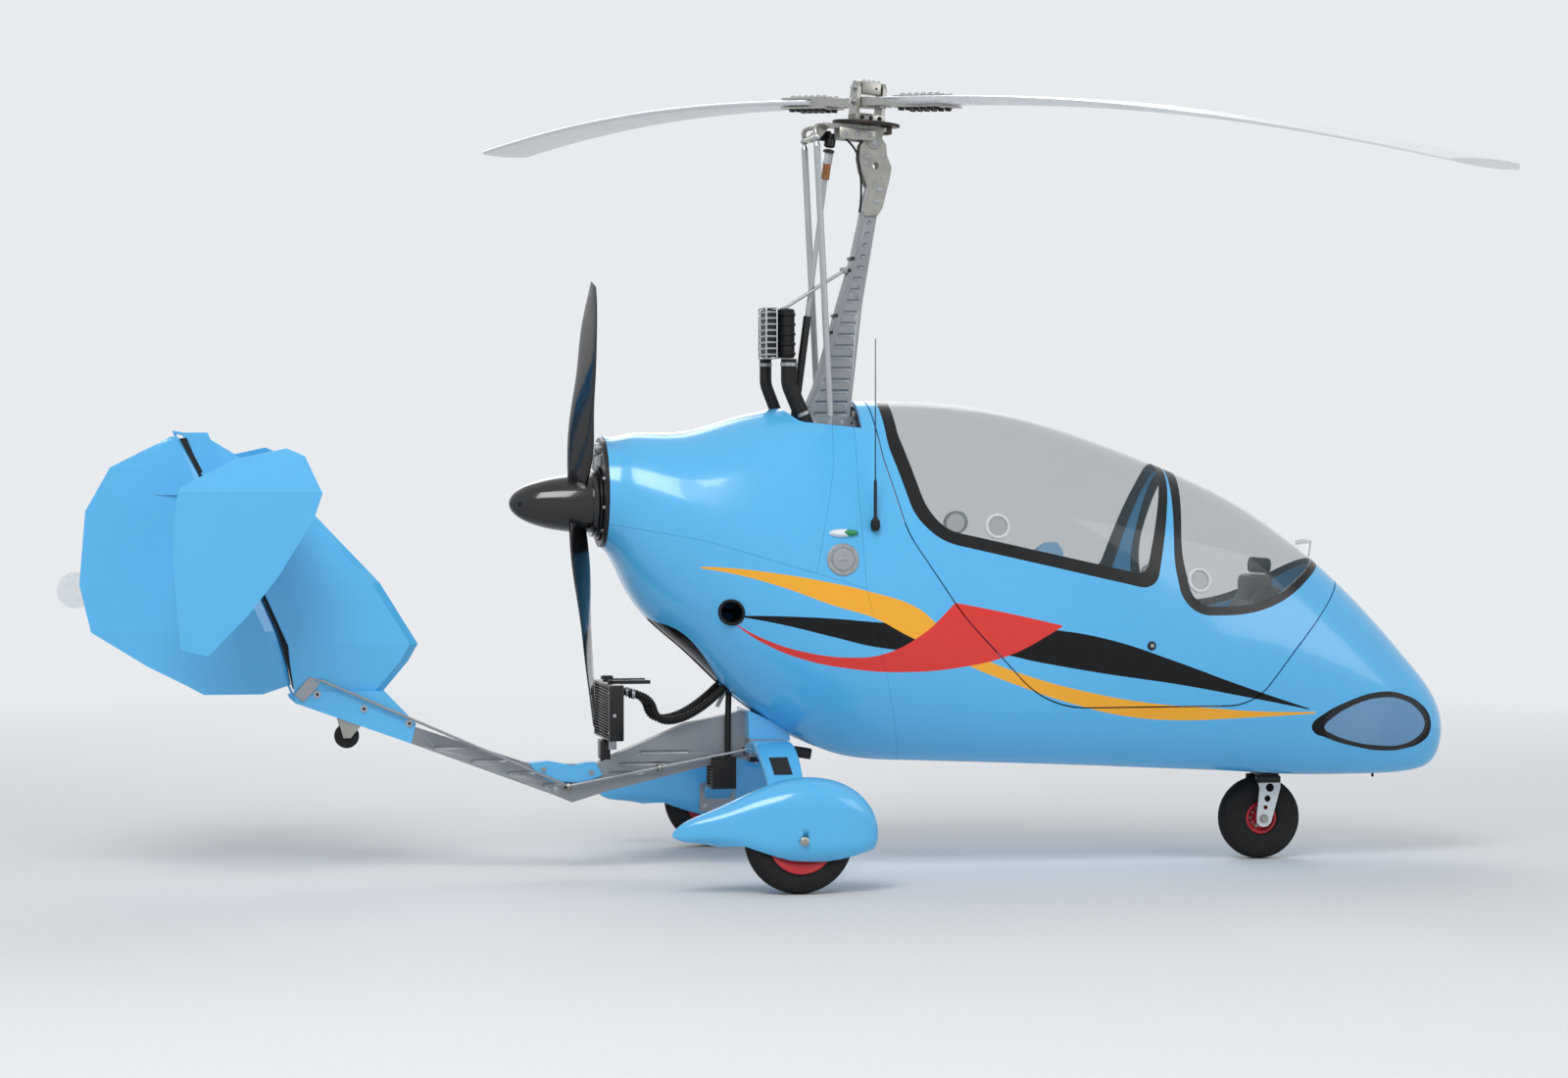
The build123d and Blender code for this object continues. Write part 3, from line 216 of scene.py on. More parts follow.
# Finishes that differ only in their numbers. After the name: sRGB colour, its variation, scale and stretch
# of the noise, lowest and highest roughness, metallic, coat and strength of the relief
PLAIN_FINISHES = {
    "window_black": ("0a0b0d", 0.20, 6, None, 0.22, 0.32, 0.0, 0.1, 0.02),
    "cabin_lining": ("3c3f44", 0.12, 60, None, 0.65, 0.85, 0.0, 0.0, 0.25),
    "seat_shell": ("26282c", 0.15, 40, None, 0.45, 0.60, 0.0, 0.1, 0.10),
    "panel_black": ("17181b", 0.15, 90, None, 0.45, 0.65, 0.0, 0.0, 0.20),
    "engine_grey": ("4c4f53", 0.25, 30, None, 0.50, 0.75, 0.4, 0.0, 0.35),
    "plate_black": ("141416", 0.20, 25, None, 0.30, 0.50, 0.0, 0.2, 0.10),
    "bare_aluminium": ("9b9ea2", 0.10, 9, (1, 1, 14), 0.34, 0.52, 0.80, 0.0, 0.06),
    "pressed_sheet": ("8d9195", 0.16, 5, None, 0.40, 0.58, 0.70, 0.0, 0.05),
    "head_steel": ("a3a29c", 0.14, 30, (1, 6, 1), 0.26, 0.42, 0.85, 0.0, 0.08),
    "bolt_steel": ("b9bbbd", 0.10, 60, None, 0.18, 0.30, 0.95, 0.0, 0.04),
    "gear_steel": ("4a423e", 0.20, 40, None, 0.35, 0.50, 0.8, 0.0, 0.08),
    "brass": ("8c5f3a", 0.25, 40, None, 0.30, 0.50, 0.8, 0.0, 0.08),
    "black_steel": ("151618", 0.20, 20, None, 0.30, 0.48, 0.1, 0.2, 0.06),
    "grey_rod": ("a5a8ab", 0.08, 14, None, 0.30, 0.42, 0.3, 0.2, 0.04),
    "white_tube": ("cfd3d6", 0.05, 14, None, 0.22, 0.34, 0.2, 0.3, 0.03),
    "grip_tape": ("25272a", 0.20, 400, None, 0.80, 0.95, 0.0, 0.0, 0.60),
    "rotor_blade": ("cfd2d4", 0.05, 5, (1, 1, 1), 0.28, 0.40, 0.1, 0.25, 0.02),
    "prop_black": ("0c0d0f", 0.20, 8, None, 0.12, 0.22, 0.0, 0.7, 0.02),
    "tyre_rubber": ("18191a", 0.25, 45, None, 0.70, 0.90, 0.0, 0.0, 0.30),
    "hose_rubber": ("121314", 0.25, 50, None, 0.45, 0.65, 0.0, 0.0, 0.15),
    "rim_red": ("b3202a", 0.10, 20, None, 0.28, 0.42, 0.0, 0.3, 0.05),
    "dial_white": ("d9dcd6", 0.05, 30, None, 0.45, 0.60, 0.0, 0.0, 0.03),
    "lens_green": ("1f8a4c", 0.10, 20, None, 0.08, 0.15, 0.0, 0.6, 0.02),
    "lens_red": ("a3171b", 0.10, 20, None, 0.08, 0.15, 0.0, 0.6, 0.02),
    "lens_white": ("e6eaec", 0.03, 20, None, 0.08, 0.15, 0.0, 0.6, 0.02),
    "harness": ("1c1e24", 0.20, 300, None, 0.70, 0.85, 0.0, 0.0, 0.40),
}


def plain_finish(name, code, variation, scale, stretch, smooth, rough, metallic, varnish, relief):
    """Finish with slight mottling, uneven gloss and fine relief."""
    finish = Finish(name)
    noise = finish.noise(scale, stretch=stretch)
    darker, lighter = shade_variants(tint(code), variation)
    finish.set(Base_Color=finish.blend(noise, darker, lighter), Roughness=finish.spread(noise, smooth, rough))
    finish.set(Metallic=metallic, Coat_Weight=varnish, Coat_Roughness=0.08)
    if metallic < BARE_METAL:
        finish.set(Specular_IOR_Level=0.3)
    finish.bump(finish.noise(scale * RELIEF_FINENESS, stretch=stretch), relief, 0.001)


# Stripes along the body in side view, as x, z in metres: lower and upper edge of each
BLACK_STRIPE = (
    [(-0.160, 0.907), (-0.018, 0.880), (0.151, 0.838), (0.313, 0.800), (0.520, 0.780), (0.744, 0.772), (0.886, 0.743),
     (1.138, 0.698), (1.393, 0.659), (1.617, 0.617), (1.909, 0.558)],
    [(-0.160, 0.913), (-0.019, 0.911), (0.151, 0.903), (0.323, 0.888), (0.600, 0.880), (0.800, 0.868), (0.958, 0.855),
     (1.137, 0.822), (1.392, 0.740), (1.616, 0.659), (1.909, 0.562)],
)
YELLOW_STRIPE = (
    [(-0.302, 1.077), (-0.187, 1.057), (-0.020, 1.010), (0.151, 0.948), (0.289, 0.906), (0.410, 0.843),
     (0.520, 0.790), (0.639, 0.731), (0.817, 0.660), (0.998, 0.599), (1.218, 0.546), (1.401, 0.529), (1.622, 0.532),
     (1.933, 0.543)],
    [(-0.302, 1.084), (-0.188, 1.078), (-0.020, 1.057), (0.151, 1.026), (0.272, 0.998), (0.428, 0.949),
     (0.533, 0.870), (0.673, 0.766), (0.852, 0.695), (1.068, 0.636), (1.287, 0.595), (1.508, 0.573), (1.733, 0.555),
     (1.933, 0.550)],
)
RED_STRIPE = (
    [(-0.181, 0.882), (-0.081, 0.814), (0.053, 0.759), (0.223, 0.725), (0.395, 0.713), (0.604, 0.728), (0.779, 0.768),
     (0.972, 0.866)],
    [(-0.182, 0.886), (-0.082, 0.831), (0.052, 0.787), (0.221, 0.766), (0.324, 0.776), (0.463, 0.843), (0.586, 0.955),
     (0.780, 0.916), (0.972, 0.872)],
)
# x of the red stripe's points that are sharp corners
SHARP_CORNERS = (0.586, 0.972)
# Lowest edge and height of the band that holds every edge, and mask steps for each metre across an edge
STRIPE_LOW = 0.38
STRIPE_SPAN = 0.80
EDGE_SHARPNESS = 1500.0

# Lower windows of the nose in side view: edge of the black border and edge of the pane
NOSE_BORDER = (
    [(1.922, 0.494), (1.928, 0.480), (1.979, 0.455), (2.080, 0.423), (2.225, 0.399), (2.311, 0.405), (2.378, 0.426),
     (2.410, 0.456), (2.417, 0.484)],
    [(1.922, 0.497), (1.928, 0.512), (1.959, 0.536), (2.056, 0.582), (2.200, 0.615), (2.291, 0.604), (2.376, 0.563),
     (2.410, 0.522), (2.417, 0.490)],
)
NOSE_PANE = (
    [(1.972, 0.491), (1.978, 0.482), (1.999, 0.470), (2.078, 0.440), (2.200, 0.419), (2.295, 0.420), (2.360, 0.448),
     (2.382, 0.472), (2.388, 0.492)],
    [(1.972, 0.494), (1.980, 0.507), (2.000, 0.524), (2.060, 0.559), (2.200, 0.594), (2.295, 0.582), (2.350, 0.552),
     (2.382, 0.514), (2.388, 0.496)],
)


def between(finish, x, z, stripe):
    """Mask that is 1 between a stripe's lower and upper edge."""
    lower, upper = stripe
    above = finish.math("SUBTRACT", z, finish.profile(x, lower, STRIPE_LOW, STRIPE_SPAN))
    below = finish.math("SUBTRACT", finish.profile(x, upper, STRIPE_LOW, STRIPE_SPAN), z)
    ahead = finish.math("SUBTRACT", x, lower[0][0])
    behind = finish.math("SUBTRACT", lower[-1][0], x)
    inside = finish.math("MINIMUM", finish.math("MINIMUM", above, below), finish.math("MINIMUM", ahead, behind))
    return finish.math("MULTIPLY", inside, EDGE_SHARPNESS, clamp=True)


# Painted shade of the air outlet in the belly, a black ellipse seen from below: middle x, half length, half width and
# highest z
OUTLET_X = -0.315
OUTLET_LENGTH = 0.135
OUTLET_WIDTH = 0.150
OUTLET_TOP = 0.95
OUTLET_SHARPNESS = 60.0


def painted_outlet_shade(finish, x, y, z):
    """Mask that is 1 where the shade inside the air outlet in the belly is painted black."""
    along = finish.math("DIVIDE", finish.math("SUBTRACT", x, OUTLET_X), OUTLET_LENGTH)
    beside = finish.math("DIVIDE", y, OUTLET_WIDTH)
    square = finish.math("ADD", finish.math("MULTIPLY", along, along), finish.math("MULTIPLY", beside, beside))
    inside = finish.math("MULTIPLY", finish.math("SUBTRACT", 1.0, square), OUTLET_SHARPNESS, clamp=True)
    return finish.math("MULTIPLY", inside, finish.math("LESS_THAN", z, OUTLET_TOP))


def body_paint():
    """Sky-blue gloss paint with three stripes along the waist, black window borders and painted black shade in the
    air outlet's opening.
    """
    finish = Finish("body_paint")
    paint = colours()
    x, y, z = finish.split()
    haze = finish.noise(2.2, detail=2.0)
    darker, lighter = shade_variants(paint.body, 0.03)
    colour = finish.blend(haze, darker, lighter)
    black = between(finish, x, z, BLACK_STRIPE)
    border = between(finish, x, z, NOSE_BORDER)
    colour = finish.blend(black, colour, paint.black)
    for stripe, shade in ((YELLOW_STRIPE, paint.yellow), (RED_STRIPE, paint.red)):
        part = between(finish, x, z, stripe)
        colour = finish.blend(part, colour, shade)
        black = finish.math("SUBTRACT", black, part, clamp=True)
    colour = finish.blend(border, colour, paint.black)
    # The opening of the air outlet is painted black, as painted shade
    outlet_shade = painted_outlet_shade(finish, x, y, z)
    colour = finish.blend(outlet_shade, colour, paint.black)
    finish.set(Base_Color=colour, Roughness=finish.spread(finish.noise(3.0), 0.16, 0.24))
    dark = finish.math("MAXIMUM", finish.math("MAXIMUM", black, outlet_shade), border)
    finish.set(Coat_Weight=finish.math("MULTIPLY_ADD", dark, -0.35, 0.40), Coat_Roughness=0.04)
    finish.set(Specular_IOR_Level=finish.math("MULTIPLY_ADD", dark, -0.25, 0.45))
    finish.bump(finish.noise(260.0, detail=1.0), 0.03, 0.0004)


def glazing():
    """Clear acrylic, faintly smoky."""
    finish = Finish("clear_glazing")
    noise = finish.noise(3.0, detail=2.0)
    finish.set(Base_Color=finish.blend(noise, tint("55646a"), tint("65757c")))
    finish.set(Roughness=finish.spread(noise, 0.02, 0.05))
    finish.set(Alpha=0.16, Specular_IOR_Level=0.7, Coat_Weight=0.4, Coat_Roughness=0.02)


def nose_glazing():
    """Pale pane with a black painted border, in the lower windows of the nose."""
    finish = Finish("nose_glazing")
    x, _, z = finish.split()
    pane = between(finish, x, z, NOSE_PANE)
    border = between(finish, x, z, NOSE_BORDER)
    cloud = finish.blend(finish.noise(4.0), tint("5f94c4"), tint("86b4da"))
    around = finish.blend(border, colours().body, colours().black)
    finish.set(Base_Color=finish.blend(pane, around, cloud), Roughness=finish.spread(finish.noise(5.0), 0.08, 0.16))
    finish.set(Alpha=finish.math("MULTIPLY_ADD", pane, -0.30, 1.0), Coat_Weight=0.3, Coat_Roughness=0.03)
    finish.set(Specular_IOR_Level=0.35)


def clear_disc():
    """Frosted clear plastic of the rudder's disc."""
    finish = Finish("clear_disc")
    frost = finish.noise(60.0)
    finish.set(Base_Color=finish.blend(frost, tint("d3d8da"), tint("eef1f2")))
    finish.set(Roughness=finish.spread(frost, 0.35, 0.5))
    finish.set(Alpha=0.72, Coat_Weight=0.4)
    finish.bump(frost, 0.1, 0.0005)


def upholstery():
    """Light blue woven cover of the seats."""
    finish = Finish("upholstery")
    thread = {"Vector": finish.place, "Scale": 180.0, "Distortion": 0.6}
    warp, weft = [finish.add("ShaderNodeTexWave", thread, bands_direction=way).outputs["Fac"] for way in "YZ"]
    weave = finish.math("MULTIPLY", warp, weft)
    darker, lighter = shade_variants(colours().cushion, 0.10)
    worn = finish.blend(finish.noise(5.0), darker, lighter)
    finish.set(Base_Color=finish.blend(weave, worn, lighter), Sheen_Weight=0.3)
    finish.set(Roughness=finish.spread(weave, 0.75, 0.92))
    finish.bump(weave, 0.35, 0.0008)


def make_finishes():
    """Makes every material but the floor's."""
    for make in (body_paint, glazing, nose_glazing, clear_disc, upholstery):
        make()
    for name, numbers in PLAIN_FINISHES.items():
        plain_finish(name, *numbers)


# Corners closer than this are one corner
DOUBLES = 1e-5


def select_only(*objects):
    """Selects these objects alone, with the first one active."""
    bpy.ops.object.select_all(action="DESELECT")
    for o in objects:
        o.select_set(True)
    bpy.context.view_layer.objects.active = objects[0]


def settle(piece, name):
    """Names a new piece and puts its place into its mesh."""
    piece.name = name
    piece.data.name = name
    select_only(piece)
    bpy.ops.object.transform_apply(location=True, rotation=True, scale=True)
    return piece


def sew_up(piece):
    """Merges doubled corners and turns the faces outward."""
    select_only(piece)
    bpy.ops.object.mode_set(mode="EDIT")
    bpy.ops.mesh.select_all(action="SELECT")
    bpy.ops.mesh.remove_doubles(threshold=DOUBLES)
    bpy.ops.mesh.normals_make_consistent(inside=False)
    bpy.ops.object.mode_set(mode="OBJECT")
    return piece


def modify(piece, kind, **settings):
    """Adds a modifier and applies it."""
    modifier = piece.modifiers.new(kind.lower(), kind)
    for key, value in settings.items():
        setattr(modifier, key, value)
    select_only(piece)
    bpy.ops.object.modifier_apply(modifier=modifier.name)
    return piece


def coat(piece, finish, angle=32.0):
    """Gives a piece its finish and smooth shading up to an edge angle."""
    piece.data.materials.clear()
    piece.data.materials.append(finishes[finish])
    select_only(piece)
    bpy.ops.object.shade_smooth_by_angle(angle=radians(angle))
    return piece


def fit(piece, body, slot, *replaced):
    """The piece rides on a body and may stand for CAD nodes, which are hidden; the slot is not used."""
    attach(piece, body)
    if replaced:
        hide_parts(*replaced)
    return piece


def joined(name, pieces):
    """Several pieces made one."""
    select_only(*pieces)
    if len(pieces) > 1:
        bpy.ops.object.join()
    pieces[0].name = name
    pieces[0].data.name = name
    return pieces[0]


def fitted(name, parts, body, slot, *replaced):
    """Parts made one piece and fitted."""
    return fit(joined(name, parts), body, slot, *replaced)


def linked(name, data):
    """New object in the scene."""
    piece = bpy.data.objects.new(name, data)
    bpy.context.scene.collection.objects.link(piece)
    return piece


def node_copy(node, name):
    """Sewn up copy of a CAD node, free to be shaped."""
    return sew_up(linked(name, nodes[node].data.copy()))


def cut(piece, cutter):
    """Takes a cutter's shape out of a piece and removes the cutter."""
    modify(piece, "BOOLEAN", operation="DIFFERENCE", object=cutter, solver="EXACT")
    bpy.data.objects.remove(cutter)
    return piece


def block(centre, size, finish, bevel=0.002, turn=ORIGIN):
    """Box with rounded edges."""
    bpy.ops.object.select_all(action="DESELECT")
    bpy.ops.mesh.primitive_cube_add(size=1, location=centre, rotation=turn, scale=size)
    piece = settle(bpy.context.object, "block")
    modify(piece, "BEVEL", width=bevel, segments=2, limit_method="ANGLE")
    return coat(piece, finish)


def wire(points, dimensions, closed=False):
    """New curve object of straight runs through points."""
    data = bpy.data.curves.new("line", "CURVE")
    data.dimensions = dimensions
    add_line(data, points, closed)
    return linked("line", data)


def add_line(data, points, closed):
    """Adds one straight-run spline to a curve."""
    spline = data.splines.new("POLY")
    spline.points.add(len(points) - 1)
    for point, place in zip(spline.points, points):
        point.co = (*place, 1)
    spline.use_cyclic_u = closed


def smooth_wire(points, resolution):
    """New curve object that follows points smoothly, from the first to the last."""
    piece = wire(points, "3D")
    spline = piece.data.splines[0]
    spline.type = "NURBS"
    spline.order_u = 3
    spline.use_endpoint_u = True
    piece.data.resolution_u = resolution
    return piece


def as_mesh(piece):
    """Curve object made a mesh."""
    select_only(piece)
    bpy.ops.object.convert(target="MESH")
    return bpy.context.object


def turned(profile, centre, axis, finish, steps=32, angle=32.0):
    """Turned piece: radius, height pairs spun about an axis through centre."""
    piece = as_mesh(wire([(radius, 0, height) for radius, height in profile], "3D"))
    modify(piece, "SCREW", steps=steps, render_steps=steps, use_merge_vertices=True, merge_threshold=DOUBLES)
    piece.rotation_euler = Vector(axis).to_track_quat("Z", "Y").to_euler()
    piece.location = centre
    sew_up(settle(piece, "turned"))
    return coat(piece, finish, angle)


def rod(start, end, radius, finish, steps=16, chamfer=0.15):
    """Round rod between two places with chamfered ends."""
    start, end = Vector(start), Vector(end)
    length = (end - start).length
    edge = radius * chamfer
    profile = [(0, 0), (radius - edge, 0), (radius, edge), (radius, length - edge), (radius - edge, length)]
    profile.append((0, length))
    return turned(profile, start, end - start, finish, steps)


def disc(radius, height):
    """Profile of a plain disc."""
    return [(0, 0), (radius, 0), (radius, height), (0, height)]


def band(inner, outer, low, high):
    """Profile of a plain ring, closed."""
    return [(inner, low), (outer, low), (outer, high), (inner, high), (inner, low)]


def plate(outline, y, thickness, finish, holes=(), bevel=0.0006):
    """Flat plate cut to an x, z outline in side view, with round x, z, radius holes."""
    piece = wire([(x, z, 0) for x, z in outline], "2D", closed=True)
    for x, z, radius in holes:
        ring = [(x + radius * cos(a * pi / 12), z + radius * sin(a * pi / 12), 0) for a in range(24)]
        add_line(piece.data, ring, True)
    piece.data.fill_mode = "BOTH"
    piece.data.extrude = thickness / 2 - bevel
    piece.data.bevel_depth = bevel
    piece.data.bevel_resolution = 0
    piece.rotation_euler = (pi / 2, 0, 0)
    piece.location = (0, y, 0)
    sew_up(settle(as_mesh(piece), "plate"))
    return coat(piece, finish)


def tube(points, radius, finish):
    """Round tube that follows points smoothly."""
    piece = smooth_wire(points, 10)
    piece.data.bevel_depth = radius
    piece.data.bevel_resolution = 3
    piece.data.use_fill_caps = True
    sew_up(settle(as_mesh(piece), "tube"))
    return coat(piece, finish, 60)


def ribbon(points, width, thickness, finish):
    """Flat webbing whose middle follows points and whose width lies across the aircraft."""
    piece = as_mesh(smooth_wire(points, 12))
    select_only(piece)
    bpy.ops.object.mode_set(mode="EDIT")
    bpy.ops.mesh.select_all(action="SELECT")
    bpy.ops.mesh.extrude_region_move(TRANSFORM_OT_translate={"value": (0, width, 0)})
    bpy.ops.object.mode_set(mode="OBJECT")
    piece.data.transform(Matrix.Translation((0, -width / 2, 0)))
    modify(piece, "SOLIDIFY", thickness=thickness, offset=0)
    return coat(sew_up(piece), finish, 50)


def copy_to(piece, matrix):
    """Copy of a piece with its own mesh, moved by a matrix."""
    twin = linked(piece.name, piece.data.copy())
    twin.data.transform(matrix)
    return twin


def copies(piece, matrices):
    """Copies of a piece moved by each matrix; the piece itself is removed."""
    made = [copy_to(piece, m) for m in matrices]
    bpy.data.objects.remove(piece)
    return made


def pointing(place, axis):
    """Matrix that stands a piece made along Z at a place, along an axis."""
    return Matrix.Translation(place) @ Vector(axis).to_track_quat("Z", "Y").to_matrix().to_4x4()


def hex_bolt(radius, finish):
    """Hexagon head on a washer, standing on the origin along Z."""
    washer = turned(disc(radius * 1.25, radius * 0.25), ORIGIN, Z_AXIS, finish, 16)
    low = radius * 0.2
    sides = [(0, low), (radius, low), (radius, radius * 0.85), (radius * 0.85, radius), (0, radius)]
    head = turned(sides, ORIGIN, Z_AXIS, finish, 6)
    return joined("bolt", [head, washer])


def bolts(radius, finish, places):
    """Bolts at place, axis pairs."""
    return copies(hex_bolt(radius, finish), [pointing(place, axis) for place, axis in places])


def both_sides(places, y):
    """Place, axis pairs that look outward at y and -y, from x, z places."""
    return [((x, side * y, z), (0, side, 0)) for x, z in places for side in SIDES]


def rounded_bead(length, radius, finish):
    """Bead with round ends about the origin, along Z."""
    half = length / 2 - radius
    arc = [(radius * cos(a * pi / 8), half + radius * sin(a * pi / 8)) for a in range(4)]
    upper = [*arc, (0, half + radius)]
    profile = [(r, -h) for r, h in reversed(upper)] + upper
    return turned(profile, ORIGIN, Z_AXIS, finish, 10, 60)


def moved(pieces, matrix):
    """The pieces with a matrix put into their meshes."""
    for piece in pieces:
        piece.data.transform(matrix)
    return pieces


# Radius of a groove's section, and how far its middle line lies outside the sheet
GROOVE_RADIUS = 0.0095
GROOVE_OFFSET = 0.0045


def grooved(node, grooves, finish):
    """Copy of a sheet metal node with grooves in both sides, each given as start x, end x, half width and z."""
    shape = node_copy(node, f"grooved_{node}")
    cutters = []
    for start, end, half, z in grooves:
        for side in SIDES:
            bead = rounded_bead(end - start, GROOVE_RADIUS, finish)
            cutters += copies(bead, [pointing(((start + end) / 2, side * (half + GROOVE_OFFSET), z), X_AXIS)])
    cut(shape, joined("cutter", cutters))
    return fit(coat(shape, finish, 28), "airframe", "bare_aluminium", node)


def first_hit(names, start, way):
    """Place where a ray meets the first of the CAD nodes that it meets at all, and how it faces there."""
    for name in names:
        hit, place, normal, _ = nodes[name].ray_cast(Vector(start), Vector(way))
        if hit:
            return place, normal
    raise RuntimeError(f"none of {names} lies on the way from {start}")


# A y that is outside the body everywhere
OUTSIDE = 0.6


def on_skin(names, x, z, side):
    """Place on the outside of a body panel at x, z, and the way the panel faces there."""
    return first_hit(names, (x, side * OUTSIDE, z), (0, -side, 0))


def lerp_line(line, height):
    """x of an x, z line at a height."""
    for (x0, z0), (x1, z1) in zip(line, line[1:]):
        if min(z0, z1) <= height <= max(z0, z1):
            return x0 + (x1 - x0) * (height - z0) / (z1 - z0)
    raise RuntimeError(f"the line doesn't reach {height}")


# Finish of each CAD node that stays as it is
NODE_FINISHES = {
    "body_paint": ["tub", "canopy_frame", "upper_cowl", "filler_panel", "lower_cowl", "left_leg", "right_leg",
                   "left_spat", "right_spat", "fin", "rudder", "tip_plates", "stabiliser"],
    "clear_glazing": ["canopy_panes"],
    "nose_glazing": ["nose_windows"],
    "clear_disc": ["trim_tab"],
    "window_black": ["window_surrounds"],
    "cabin_lining": ["cabin_liner"],
    "seat_shell": ["rear_seat_shell", "front_seat_shell"],
    "panel_black": ["instrument_pod"],
    "engine_grey": ["engine_block"],
    "plate_black": ["engine_plate", "oil_cooler"],
    "bare_aluminium": ["mast", "keel", "mast_head", "gear_frame"],
    "head_steel": ["head_bridge", "rotor_tower", "rotor_hub", "canopy_hinges", "body_hinges", "roller_bracket"],
    "black_steel": ["shaft_sleeve", "exhaust_pipe"],
    "grey_rod": ["control_rods", "spin_up_shaft", "nose_fork"],
    "rotor_blade": ["right_blade", "left_blade"],
    "prop_black": ["propeller_blades", "spinner"],
    "tyre_rubber": ["tail_roller", "left_tyre", "right_tyre", "nose_tyre"],
    "rim_red": ["left_rim", "right_rim", "nose_rim"],
    "hose_rubber": ["air_ducts", "hoses"],
}


class GYRO_OT_finishes(bpy.types.Operator):
    """Make the finishes and put them on the frame's own parts"""

    bl_idname = "gyro.finishes"
    bl_label = "Finishes"

    def execute(self, context):
        make_finishes()
        for finish, names in NODE_FINISHES.items():
            for name in names:
                data = nodes[name].data
                data.materials.clear()
                data.materials.append(finishes[finish])
        return {"FINISHED"}


BACKGROUND = tint("e8ebee")
FLOOR_SIZE = 240
# Distances from the middle between which the floor takes on the background's colour
FADE_START = 3.2
FADE_END = 11.0
SKY_LIGHT = 0.52
# Name, place, size and power of each lamp, and the point that all of them look at
LAMPS = (
    ("key", (-3.5, -8.0, 8.5), 5.0, 700),
    ("fill", (7.5, -6.0, 4.5), 5.0, 170),
    ("rear", (1.0, 8.0, 6.0), 6.0, 300),
)
LAMP_AIM = Vector((0, 0, 1.2))
CAMERA_PLACE = (-2.747, -14.373, 1.54)
CAMERA_TURN = (radians(90 - 1.444), 0, radians(-11.0))
CAMERA_LENS = 94.59
CAMERA_SENSOR = 36.0
CAMERA_REACH = 500


class GYRO_OT_stage(bpy.types.Operator):
    """Add the floor, the lamps, the sky and the camera"""

    bl_idname = "gyro.stage"
    bl_label = "Stage"

    def execute(self, context):
        bpy.ops.object.select_all(action="DESELECT")
        bpy.ops.mesh.primitive_plane_add(size=FLOOR_SIZE)
        floor = settle(bpy.context.object, "floor")
        grey = Finish("floor_grey")
        grain = grey.noise(40.0)
        grey.set(Base_Color=grey.blend(grain, tint("d6d7d8"), tint("dfe0e1")),
                 Roughness=grey.spread(grain, 0.8, 0.95))
        self.fade_out(grey)
        floor.data.materials.append(finishes["floor_grey"])
        for lamp in LAMPS:
            self.lamp(*lamp)
        self.sky(context.scene)
        context.scene.view_settings.view_transform = "Standard"
        data = bpy.data.cameras.new("camera")
        data.lens = CAMERA_LENS
        data.sensor_width = CAMERA_SENSOR
        data.clip_end = CAMERA_REACH
        camera = linked("camera", data)
        camera.location = CAMERA_PLACE
        camera.rotation_euler = CAMERA_TURN
        context.scene.camera = camera
        return {"FINISHED"}

    def fade_out(self, grey):
        """Far from the aircraft the floor takes the background's colour where it is seen."""
        away = grey.add("ShaderNodeVectorMath", {0: grey.place}, operation="LENGTH").outputs["Value"]
        fade = {"Value": away, "From Min": FADE_START, "From Max": FADE_END}
        far = grey.add("ShaderNodeMapRange", fade, interpolation_type="SMOOTHSTEP")
        path = grey.add("ShaderNodeLightPath").outputs
        mirrored = grey.math("MAXIMUM", path["Is Glossy Ray"], path["Is Transmission Ray"])
        seen = grey.math("MAXIMUM", path["Is Camera Ray"], mirrored)
        glow = grey.add("ShaderNodeEmission", {"Color": (*BACKGROUND, 1), "Strength": 1.0})
        mask = grey.math("MULTIPLY", far.outputs[0], seen)
        mix = grey.add("ShaderNodeMixShader", {0: mask, 1: grey.shader.outputs[0], 2: glow.outputs[0]})
        grey.put(grey.tree.nodes["Material Output"].inputs["Surface"], mix.outputs[0])

    def lamp(self, name, place, size, power):
        """Soft square lamp aimed at the middle of the aircraft."""
        data = bpy.data.lights.new(name, "AREA")
        data.size = size
        data.energy = power
        lamp = linked(name, data)
        lamp.location = place
        lamp.rotation_euler = (LAMP_AIM - Vector(place)).to_track_quat("-Z", "Y").to_euler()

    def sky(self, scene):
        """Plain pale surroundings, brighter where they are seen or mirrored."""
        world = bpy.data.worlds.new("sky")
        scene.world = world
        world.use_nodes = True
        tree = world.node_tree
        light = tree.nodes["Background"]
        light.inputs["Color"].default_value = (*tint("e9eef3"), 1)
        light.inputs["Strength"].default_value = SKY_LIGHT
        seen = tree.nodes.new("ShaderNodeBackground")
        seen.inputs["Color"].default_value = (*BACKGROUND, 1)
        path = tree.nodes.new("ShaderNodeLightPath")
        mask = path.outputs["Is Camera Ray"]
        for ray in ("Is Glossy Ray", "Is Transmission Ray"):
            either = tree.nodes.new("ShaderNodeMath")
            either.operation = "MAXIMUM"
            tree.links.new(mask, either.inputs[0])
            tree.links.new(path.outputs[ray], either.inputs[1])
            mask = either.outputs[0]
        mix = tree.nodes.new("ShaderNodeMixShader")
        for socket, source in enumerate((mask, light.outputs[0], seen.outputs[0])):
            tree.links.new(source, mix.inputs[socket])
        tree.links.new(mix.outputs[0], tree.nodes["World Output"].inputs["Surface"])


MAST_REAR = [(0.130, 1.560), (0.130, 1.640), (0.161, 1.711), (0.300, 2.182), (0.353, 2.426)]
MAST_FRONT = [(0.278, 1.560), (0.278, 1.589), (0.325, 2.008), (0.396, 2.426)]
